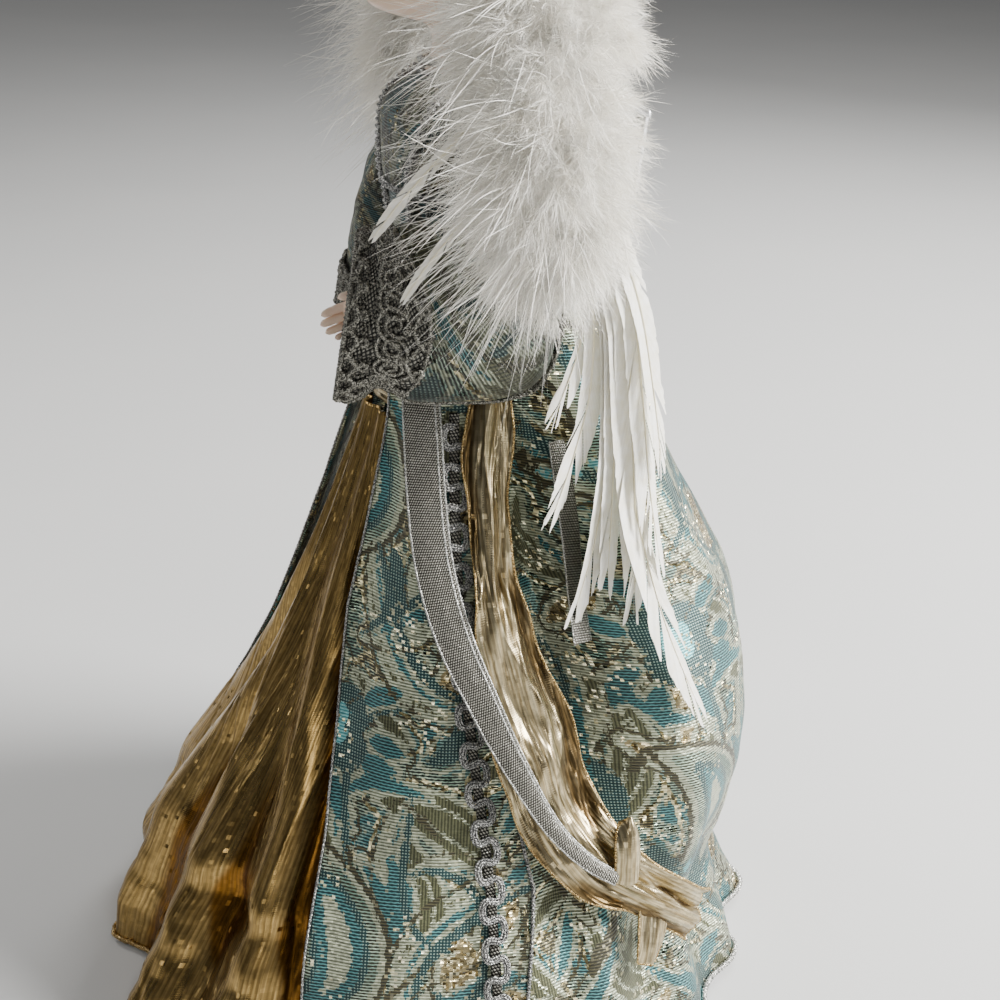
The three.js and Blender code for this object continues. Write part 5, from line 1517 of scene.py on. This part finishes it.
def hair_meshes():
    rng = np.random.default_rng(11)
    # cap: from the crown to the hairline, which is higher in front
    n_az, n_pol = 260, 90
    az = np.linspace(-math.pi, math.pi, n_az)
    a2, t2 = np.meshgrid(az, np.linspace(0.0, 1.0, n_pol))
    line = np.radians(51 + 58 * smooth(0.25, 1.35, np.abs(a2)) + 2 * np.sin(a2 * 9) * smooth(0.2, 0.6, np.abs(a2)))
    pol = t2 * line
    lift = 0.9 * np.abs(np.sin(a2 * 16 + 1.5 * np.sin(t2 * 5))) - 0.9 - 1.6 * smooth(0.9, 1.0, t2)
    cap = on_cap(a2, pol, lift)
    cap_uv = np.stack([a2.ravel() * 30, t2.ravel() * 55], 1) * 0.01
    pile, uvs, bunches = Pile(), [], []

    def add_lock(path, r, out, side, k):
        n = len(path)
        t = np.linspace(0, 1, n)
        v, fc = tube(path, r, out, 12, flat=0.8)
        ring = v[:n * 12].reshape(n, 12, 3)
        groove = 1 + 0.16 * np.cos(4 * (np.arange(12) / 12 * TAU)[None] + 9 * t[:, None])
        ring[:] = path[:, None] + (ring - path[:, None]) * groove[..., None]
        length = np.concatenate([[0], np.cumsum(np.linalg.norm(np.diff(path, axis=0), axis=1))])
        uvk = np.stack([np.repeat((np.arange(12) * 1.6)[None], n, 0).ravel() + 23 * k, np.repeat(length, 12)], 1)
        pile.add(v, fc)
        uvs.append(np.concatenate([uvk, uvk[:1], uvk[-1:]]) * 0.01)
        for j in range(3):                       # loose strands along the lock
            pick = np.linspace(0, n - 1, 40).astype(int)
            turn = rng.uniform(0, TAU) + rng.uniform(-5, 5) * t[pick]
            gap = r[pick] * (1.02 + 0.5 * rng.uniform() * t[pick] ** 2)
            thin = path[pick] + side[pick] * (gap * np.cos(turn))[:, None] + out[pick] * (gap * 0.8 * np.sin(turn))[:, None]
            v, fc = tube(thin, 0.17 * (1.1 - 0.7 * t[pick]), out[pick], 4)
            pile.add(v, fc)
            uvs.append(np.stack([np.full(len(v), 23.0 * k + 7 * j), np.linspace(0, 60, len(v))], 1) * 0.01)

    n = 120
    t = np.linspace(0, 1, n)
    taper = (0.55 + 0.45 * np.sin(np.pi * np.clip(t * 0.9 + 0.08, 0, 1)) ** 0.7) * (1 - 0.75 * smooth(0.9, 1.0, t))
    # locks: down the cap, then hanging in ringlets
    count = 150
    for k in range(count):
        f = (k + 0.5) / count
        a0 = math.radians(57 + (303 - 57) * f) + rng.normal(0, 0.03)
        layer = k % 4
        a0w = (a0 + math.pi) % TAU - math.pi
        crown = math.radians(12 + 13 * layer)
        front = math.cos(a0) > 0.25
        low = math.radians(96 if front else 112)
        tt = np.clip(t / 0.55, 0, 1)
        base = on_cap(np.full(n, a0w) + 0.10 * np.sin(tt * 6 + k), crown + (low - crown) * tt, 0.3 + 0.9 * (layer == 1))
        hang = np.clip((t - 0.55) / 0.45, 0, 1)
        drop = (20 if front else 29) + rng.uniform(-4, 4)
        out = np.array([math.sin(a0), -math.cos(a0), 0.0])
        side = np.array([math.cos(a0), math.sin(a0), 0.0])
        base = base + np.stack([0 * hang, 0 * hang, -drop * hang], 1) - out * (hang * (0.0 if front else 3.5))[:, None]
        ph = TAU * (3.6 + rng.uniform(-0.7, 0.8)) * t + rng.uniform(0, TAU)
        amp = 0.35 + 2.2 * smooth(0.35, 0.7, t)
        path = base + side * (amp * np.sin(ph))[:, None] + out * (amp * 0.8 * np.cos(ph))[:, None]
        add_lock(path, 2.0 * taper, np.tile(out, (n, 1)), np.tile(side, (n, 1)), k)
        if k in LOCK_ENDS:
            v, fc, _ = pile.parts()
            bunches.append(("wig_locks_" + LOCK_ENDS[k], (v, fc, np.concatenate(uvs))))
            pile, uvs = Pile(), []
    # locks swept from the parting over the forehead to the temples
    for sx in (-1, 1):
        for j in range(17):
            u = j / 16
            start, end = math.radians(9 + 46 * u), math.radians(74 - 10 * u + rng.normal(0, 1.5))
            run = np.clip(t / 0.68, 0, 1)
            az = sx * (math.radians(1.2) + end * run ** 1.15)
            pol = start + (math.radians(98) - start) * run ** (0.9 + 0.5 * u)
            base = on_cap(az, pol, 0.5 + 0.9 * np.sin(math.pi * run) * (0.4 + 0.6 * u) + 0.25 * np.sin(run * 8 + 1.7 * j))
            hang = np.clip((t - 0.68) / 0.32, 0, 1)
            out = np.array([math.sin(az[-1]), -math.cos(az[-1]), 0.0])
            side = np.array([math.cos(az[-1]), math.sin(az[-1]), 0.0])
            base[:, 2] -= (16 + rng.uniform(-5, 5)) * hang
            ph = TAU * 3.0 * t + rng.uniform(0, TAU)
            amp = 1.9 * smooth(0.55, 0.85, t)
            path = base + side * (amp * np.sin(ph))[:, None] + out * (amp * 0.8 * (np.cos(ph) + 0.7))[:, None]
            face_out = unit(path - CAP_C)
            along_side = unit(np.cross(face_out, unit(np.gradient(path, axis=0))))
            add_lock(path, 1.85 * taper, face_out, along_side, 200 + 20 * (sx > 0) + j)
    v, fc, _ = pile.parts()
    bunches.append(("wig_locks_swept", (v, fc, np.concatenate(uvs))))
    return cap, cap_uv, bunches


cap, cap_uv, bunches = hair_meshes()
hair_cap = make("wig_cap", cap, grid_faces(*cap.shape[:2])[:, ::-1], HAIR, uv=cap_uv, node="wig", slot="hair", solid=0.8)
for name, bunch in bunches:
    make(name, *bunch[:2], HAIR, uv=bunch[2], slot="hair")

# ------------------------------------------------------------------ wings
DOWN_LOBES = {
    "left": [((57.0, 6.0, 316.0), (19.0, 22.0, 27.5)), ((71.0, 4.0, 283.0), (11.0, 19.0, 41.0))],
    "right": [((57.0, 20.0, 318.0), (19.0, 20.0, 27.0)), ((69.0, 20.0, 292.0), (11.0, 17.0, 34.0))],
}


def strand_mesh(rng, root, direction, length, bend, droop, width, segments=4):
    """Thin tapered barbs as ribbons, each curved in a plane of its own."""
    m = len(root)
    t = np.linspace(0, 1, segments + 1)
    side = unit(np.cross(direction, rng.normal(size=(m, 3))))
    turn_by = bend[:, None] * t                    # angle turned by, along the barb
    step = np.cos(turn_by)[..., None] * direction[:, None] + np.sin(turn_by)[..., None] * side[:, None]
    p = np.concatenate([np.zeros((m, 1, 3)), np.cumsum(0.5 * (step[:, 1:] + step[:, :-1]), axis=1)], 1) / segments
    p = root[:, None] + p * length[:, None, None]
    p[..., 2] -= (droop * length)[:, None] * t ** 2
    wide = unit(np.cross(direction, side) + 0.5 * rng.normal(size=(m, 3)))
    w = width[:, None] * np.interp(t, [0, 0.4, 0.8, 1], [0.9, 1.0, 0.7, 0.12])
    v = np.stack([p + wide[:, None] * w[..., None] / 2, p - wide[:, None] * w[..., None] / 2], 2)
    base = np.arange(m)[:, None] * (2 * (segments + 1)) + 2 * np.arange(segments)[None]
    f = np.stack([base, base + 1, base + 3, base + 2], -1).reshape(-1, 4)
    return v.reshape(-1, 3), f


def lobe_roots(rng, side, count, shrink):
    """Places and outward directions on the two lobes of down, taken together."""
    out_p, out_n = [], []
    lobes = [(np.array(c), np.array(r)) for c, r in DOWN_LOBES[side]]
    for (c, r), part in zip(lobes, (0.46, 0.54)):
        m = int(count * part * 2.2)
        d = unit(rng.normal(size=(m, 3)))
        p, n = c + d * r * shrink, unit(d / r)
        inside = np.zeros(m, bool)
        for c2, r2 in lobes:
            if c2 is not c:
                inside |= (((p - c2) / (r2 * shrink)) ** 2).sum(1) < 0.9
        keep = np.where(~inside)[0][:int(count * part)]
        out_p.append(p[keep])
        out_n.append(n[keep])
    return np.concatenate(out_p), np.concatenate(out_n)


def plumelets(side, seed, count, barbs, shrink, size, thick=1.0):
    """Tufts of down: a soft curved spine with long fine barbs all round it."""
    rng = np.random.default_rng(seed)
    root, out = lobe_roots(rng, side, count, shrink)
    m = len(root)
    spine = unit(out + 0.55 * rng.normal(size=(m, 3)) + np.array([0.0, -0.1, -0.12]))
    length = size * rng.uniform(0.55, 1.1, m)
    t = rng.uniform(0.0, 0.95, (m, barbs))
    at = root[:, None] + spine[:, None] * (length[:, None] * t)[..., None]
    at[..., 2] -= (0.22 * length)[:, None] * t ** 2
    tangent = unit(spine[:, None] + np.array([0, 0, -1.0]) * (0.4 * t)[..., None])
    around = unit(np.cross(tangent, rng.normal(size=(m, barbs, 3))))
    spread = rng.uniform(0.15, 1.15, (m, barbs)) * (1.0 - 0.5 * t)
    d = unit(tangent * np.cos(spread)[..., None] + around * np.sin(spread)[..., None])
    ln = size * rng.uniform(0.35, 1.0, (m, barbs)) * (1.0 - 0.35 * t)
    flat = lambda x: x.reshape(-1, *x.shape[2:])
    n = m * barbs
    return strand_mesh(rng, flat(at), flat(d), flat(ln), rng.normal(0, 0.75, n), rng.uniform(0.0, 0.22, n), thick * rng.uniform(0.07, 0.14, n))


def wisps(side, seed, count):
    """Long single barbs, most of them forward over the sleeve and down."""
    rng = np.random.default_rng(seed)
    root, out = lobe_roots(rng, side, count * 3, 0.6)
    pull = unit(np.array([0.1, -0.85, -0.5]))
    score = out @ pull + 0.9 * rng.uniform(size=len(out))
    pick = np.argsort(-score)[:count]
    root, out = root[pick], out[pick]
    m = len(pick)
    d = unit(out + 0.75 * pull + 0.35 * rng.normal(size=(m, 3)))
    return strand_mesh(rng, root, d, rng.uniform(18, 40, m), rng.normal(0, 0.6, m), rng.uniform(0.0, 0.3, m), rng.uniform(0.12, 0.24, m), 8)


def feather(pile, points, width, seed, barbs=84, bare=0.03):
    """A long hackle: a tapering shaft with two smooth vanes that are split here and there."""
    rng = np.random.default_rng(seed)
    n = 90
    p = along(points, np.linspace(0, 1, n))
    t = unit(np.gradient(p, axis=0))
    nn = outward(p)
    nn = unit(nn - (nn * t).sum(1, keepdims=True) * t)
    side = np.cross(nn, t)
    k = np.linspace(0, 1, n)
    v, f = tube(p + nn * 0.2, 0.5 * (1 - 0.85 * k), nn, 6)
    pile.add(v, f, tip=np.full(len(v), 0.75), shade=np.full(len(v), 0.5))
    seg = 7
    u = np.linspace(0, 1, seg + 1)
    for sgn in (1, -1):
        m = barbs
        a = np.linspace(bare, 0.985, m)
        pick = lambda arr: np.stack([np.interp(a, k, arr[:, c]) for c in range(3)], 1)
        root, tt, ss, no = pick(p), pick(t), pick(side) * sgn, pick(nn)
        cut = rng.uniform(size=m) < np.interp(a, [0, 0.4, 0.8, 1.0], [0.01, 0.04, 0.08, 0.05])
        group = np.cumsum(cut)
        off = rng.normal(0, 1.0, group.max() + 1)[group]
        lift = rng.normal(0, 1.0, group.max() + 1)[group]
        beta = np.radians(np.interp(a, [0, 0.5, 1], [30, 22, 12]) + 3.0 * off)
        shape = np.interp(a, [0, 0.10, 0.4, 0.72, 0.9, 1.0], [0.55, 0.85, 1.0, 0.82, 0.5, 0.2])
        reach = width / 2 * shape * np.clip(1 + 0.10 * off + 0.03 * rng.normal(size=m), 0.5, 1.25)
        ln = reach / np.maximum(np.sin(beta), 0.17)
        d = unit(tt * np.cos(beta)[:, None] + ss * np.sin(beta)[:, None] + no * (0.02 + 0.045 * lift)[:, None])
        q = root[:, None] + d[:, None] * (ln[:, None] * u)[..., None]
        q = q + tt[:, None] * (0.10 * ln[:, None] * u ** 2)[..., None] - no[:, None] * (0.03 * ln[:, None] * u ** 2)[..., None]
        inner = np.arange(m)[:, None] * (seg + 1) + np.arange(seg)[None]
        same = np.where(group[1:] == group[:-1])[0]
        first, second = inner[same], inner[same + 1]
        f = np.stack([first, first + 1, second + 1, second], -1).reshape(-1, 4)
        if sgn < 0:
            f = f[:, ::-1]
        pile.add(q.reshape(-1, 3), f, tip=np.zeros(m * (seg + 1)), shade=np.repeat(np.clip(0.5 + 0.3 * np.tanh(off) + 0.35 * rng.normal(size=m), 0, 1), seg + 1))


# long feathers: points along the shaft, then width
LONG = [
    ([[64, 17, 280], [59.5, 29, 246], [57, 35, 212], [60, 38, 184], [66.5, 42, 161], [73, 47, 141], [80, 53.5, 122]], 13.5),
    ([[63, 15, 280], [58.5, 26, 246], [56, 30.5, 214], [58, 29.5, 191], [60.5, 26, 170], [62.5, 20.5, 152]], 12.0),
    ([[64, 13, 276], [58.5, 22.5, 244], [55.8, 24.5, 218], [56.4, 20.5, 199], [58.6, 14.0, 182]], 9.5),
    ([[64, 19, 280], [60, 31, 246], [57.5, 36.5, 214], [60, 38, 188], [63.5, 38.5, 168], [65.5, 37.5, 154]], 13.0),
    ([[65, 20, 278], [61, 33, 244], [59, 39.5, 214], [62, 42, 188], [66.5, 44.5, 166]], 12.0),
    ([[64, 16, 278], [59, 27.5, 244], [57, 32, 210], [59.5, 31.5, 182], [62.5, 30, 162]], 11.5),
    ([[64, 12, 272], [58.5, 20.5, 246], [56.6, 19.5, 228], [57.6, 13.5, 212]], 7.5),
    ([[65, 21, 276], [61.5, 35, 244], [61, 41.5, 218], [63.5, 44.5, 196]], 9.0),
]
SHORT = [
    ([[60, -12, 296], [57, -22, 285], [52, -30, 274], [46, -36, 263]], 3.6),
    ([[64, -10, 280], [62, -17, 270], [58, -25, 258], [54, -30, 248]], 3.2),
]

for side, flip in (("left", np.ones(3)), ("right", MIRROR)):
    body = f"{side}_wing"
    k = 0 if side == "left" else 100

    def turn(faces):
        return [f if flip[0] > 0 else f[:, ::-1] for f in (faces if isinstance(faces, list) else [faces])]
    for part, (count, barbs, shrink, size) in enumerate([(260, 92, 0.35, 19.0), (300, 80, 0.55, 15.0), (340, 70, 0.7, 12.0), (360, 66, 0.8, 10.0)]):
        v, f = plumelets(side, 21 + part + k, count, barbs, shrink, size, 1.0 if side == "left" else 1.6)
        make(f"wing_down_{side}_{'abcd'[part]}", v * flip, turn(f), DOWN, body, node=f"wing_down_{side}" if part == 0 else None, slot="down")
    v, f = wisps(side, 31 + k, 1100)
    make(f"wing_down_{side}_wisps", v * flip, turn(f), DOWN, body, slot="down")
    pile = Pile()                                   # a soft core under the barbs
    for c, r in DOWN_LOBES[side]:
        pol, az = np.meshgrid(np.linspace(0.02, math.pi - 0.02, 60), np.linspace(0, TAU, 72, endpoint=False), indexing="ij")
        d = np.stack([np.sin(pol) * np.cos(az), np.sin(pol) * np.sin(az), np.cos(pol)], -1)
        q = np.array(c) + d * np.array(r) * (0.66 + 0.10 * fbm(np.cos(az) * 3 + pol, np.sin(az) * 3 + pol * 2, 97, 3))[..., None]
        pile.add(q.reshape(-1, 3), grid_faces(60, 72, True)[:, ::-1])
    v, f, _ = pile.parts()
    make(f"wing_down_{side}_core", v * flip, turn(f), DOWN, body, slot="down")
    pile = Pile()
    for i, (points, width) in enumerate(LONG):
        feather(pile, points, width, 41 + i + k)
    for i, (points, width) in enumerate(SHORT if side == "left" else []):
        feather(pile, points, width, 61 + i + k, 50)
    v, f, attrs = pile.parts()
    make(f"wing_plumes_{side}_feathers", v * flip, turn(f), QUILL, body, attrs=attrs, node=f"wing_plumes_{side}", slot="quill")
